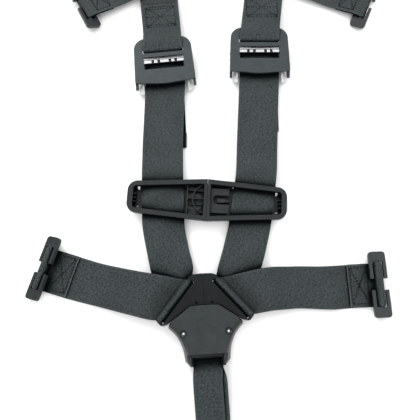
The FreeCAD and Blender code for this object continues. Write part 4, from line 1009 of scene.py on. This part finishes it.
TOP_LAYER_Z = HALF_WEB - BACK_LAYER
SHOULDER_UNDER = 3.12  # how far above its bar a shoulder end's under layer is sewn
UNDER_THREAD_Z, TAIL_THREAD_Z = 0.02, 0.06
SEWN_BOX = (9.6, 24.2)
HIP_BOX_HALF, SHOULDER_BOX_HALF, CROTCH_BOX_HALF = 15.8, 15.4, 9.2
ADJUSTER_BOX, ADJUSTER_ROWS = (40.4, 64.8), (43.0, 52.6, 62.2)
HEM_ROWS = (7.6, 10.4)
TABLE = (0, 0, 0)
stitch_sets = []
for label, spot in (("left_hip", LEFT_HIP), ("right_hip", RIGHT_HIP)):
    lines = box_and_cross(*SEWN_BOX, -HIP_BOX_HALF, HIP_BOX_HALF)
    beads = stitched_lines(lines, on_plane(spot, HIP_BAR_Z + TOP_LAYER_Z), UP)
    beads += stitched_lines(lines, on_plane(spot, UNDER_THREAD_Z), -UP)
    stitch_sets.append((label, beads, "harness"))
for label, spot, bar_z in (("left_shoulder", LEFT_SHOULDER, LEFT_SHOULDER_Z),
                           ("right_shoulder", RIGHT_SHOULDER, RIGHT_SHOULDER_Z)):
    lines = box_and_cross(*SEWN_BOX, -SHOULDER_BOX_HALF, SHOULDER_BOX_HALF)
    beads = stitched_lines(lines, on_plane(spot, bar_z + FIRST_LAYER + HALF_WEB, -SHOULDER_SLOPE), UP)
    beads += stitched_lines(lines, on_plane(spot, bar_z + SHOULDER_UNDER - HALF_WEB, -SHOULDER_SLOPE), -UP)
    stitch_sets.append((label, beads, "harness"))
for label, spot, x0, x1 in (("left_adjuster", LEFT_ADJUSTER, -13.5, 15.0),
                            ("right_adjuster", RIGHT_ADJUSTER, -11.5, 19.0)):
    lines = box_and_cross(x0, x1, *ADJUSTER_BOX) + [((x0, y), (x1, y)) for y in ADJUSTER_ROWS]
    slope = (UPPER_TOP_Z - UPPER_FOOT_Z) / (SEWN_TOP - SEWN_FOOT)
    upper_z = UPPER_FOOT_Z + HALF_WEB - SEWN_FOOT * slope
    under_z = UNDER_FOOT_Z - HALF_WEB - SEWN_FOOT * slope
    beads = stitched_lines(lines, on_plane(spot, upper_z, slope, 1), UP)
    beads += stitched_lines(lines, on_plane(spot, under_z, slope, 1), -UP)
    stitch_sets.append((label, beads, "harness"))
lines = box_and_cross(*SEWN_BOX, -CROTCH_BOX_HALF, CROTCH_BOX_HALF)
beads = stitched_lines(lines, on_plane(CROTCH, CROTCH_Z + TOP_LAYER_Z), UP)
beads += stitched_lines(lines, on_plane(CROTCH, UNDER_THREAD_Z), -UP)
stitch_sets.append(("crotch", beads, "buckle"))
for label, x0, x1, y in (("left_tail", -53.6, -19.4, LEFT_TAIL_Y), ("right_tail", 33.2, 67.6, RIGHT_TAIL_Y)):
    rows = [((x0, y + k), (x1, y + k)) for k in HEM_ROWS]
    beads = stitched_lines(rows, on_plane(TABLE, HEM_Z + HEM_R + HALF_WEB), UP)
    beads += stitched_lines(rows, on_plane(TABLE, TAIL_THREAD_Z), -UP)
    stitch_sets.append((label, beads, "harness"))
for label, beads, body in stitch_sets:
    linked(f"{label}_thread", thread(f"{label}_thread", beads), thread_look, body)


# ---------------------------------------------------------------- floor, light and camera

FLOOR_Z = -0.4 * MM
FLOOR_HALF = 4.0

floor_mesh = bpy.data.meshes.new("floor")
corners = [(x * FLOOR_HALF, y * FLOOR_HALF, FLOOR_Z) for x, y in ((-1, -1), (1, -1), (1, 1), (-1, 1))]
floor_mesh.from_pydata(corners, [], [(0, 1, 2, 3)])
floor_graph = Graph("floor")
floor_place = floor_graph.add("ShaderNodeTexCoord").outputs["Object"]
floor_tone = floor_graph.mix(floor_graph.noise(floor_place, 30.0), (0.95, 0.95, 0.95), (0.97, 0.97, 0.97))
floor_look = floor_graph.finish(Base_Color=floor_tone, Roughness=0.8, Specular_IOR_Level=0.1)
floor = linked("floor", floor_mesh, floor_look)

world = bpy.data.worlds.new("studio")
world.use_nodes = True
sky = world.node_tree
# A white ceiling that is brightest overhead and falls off towards the horizon
sky_place = sky.nodes.new("ShaderNodeTexCoord")
sky_height = sky.nodes.new("ShaderNodeSeparateXYZ")
sky_level = sky.nodes.new("ShaderNodeMapRange")
sky.links.new(sky_place.outputs["Generated"], sky_height.inputs[0])
sky.links.new(sky_height.outputs["Z"], sky_level.inputs[0])
HORIZON, OVERHEAD = (0.35, 0.26), (0.97, 1.74)
for k, value in enumerate((HORIZON[0], OVERHEAD[0], HORIZON[1], OVERHEAD[1])):
    sky_level.inputs[k + 1].default_value = value
sky.links.new(sky_level.outputs[0], sky.nodes["Background"].inputs["Strength"])
sky.nodes["Background"].inputs["Color"].default_value = (1.0, 1.0, 1.0, 1.0)
scene.world = world


def soft_light(name, place, target, size, power):
    light = bpy.data.lights.new(name, "AREA")
    light.shape = "SQUARE"
    light.size = size
    light.energy = power
    obj = bpy.data.objects.new(name, light)
    obj.location = place
    aim = np.array(target, float) - np.array(place, float)
    aim /= np.linalg.norm(aim)
    obj.rotation_euler = (math.acos(-aim[2]), 0.0, math.atan2(aim[0], -aim[1]) + math.pi)
    scene.collection.objects.link(obj)


soft_light("key", (-0.75, 1.25, 1.0), (0.0, 0.15, 0.0), 0.7, 17.0)
soft_light("fill", (1.1, 0.9, 0.9), (0.0, 0.1, 0.0), 0.7, 7.0)
soft_light("near_fill", (-0.3, -1.25, 0.8), (0.0, 0.1, 0.0), 0.6, 8.0)

lens = bpy.data.cameras.new("camera")
lens.sensor_width = 36.0
lens.lens = 47.14
lens.clip_start = 0.01
camera = bpy.data.objects.new("camera", lens)
camera.location = (0.00434, -0.03698, 0.48548)
camera.rotation_euler = (math.radians(15.0), 0.0, 0.0)
scene.collection.objects.link(camera)
scene.camera = camera
scene.view_settings.view_transform = "Standard"
scene.view_settings.look = "None"
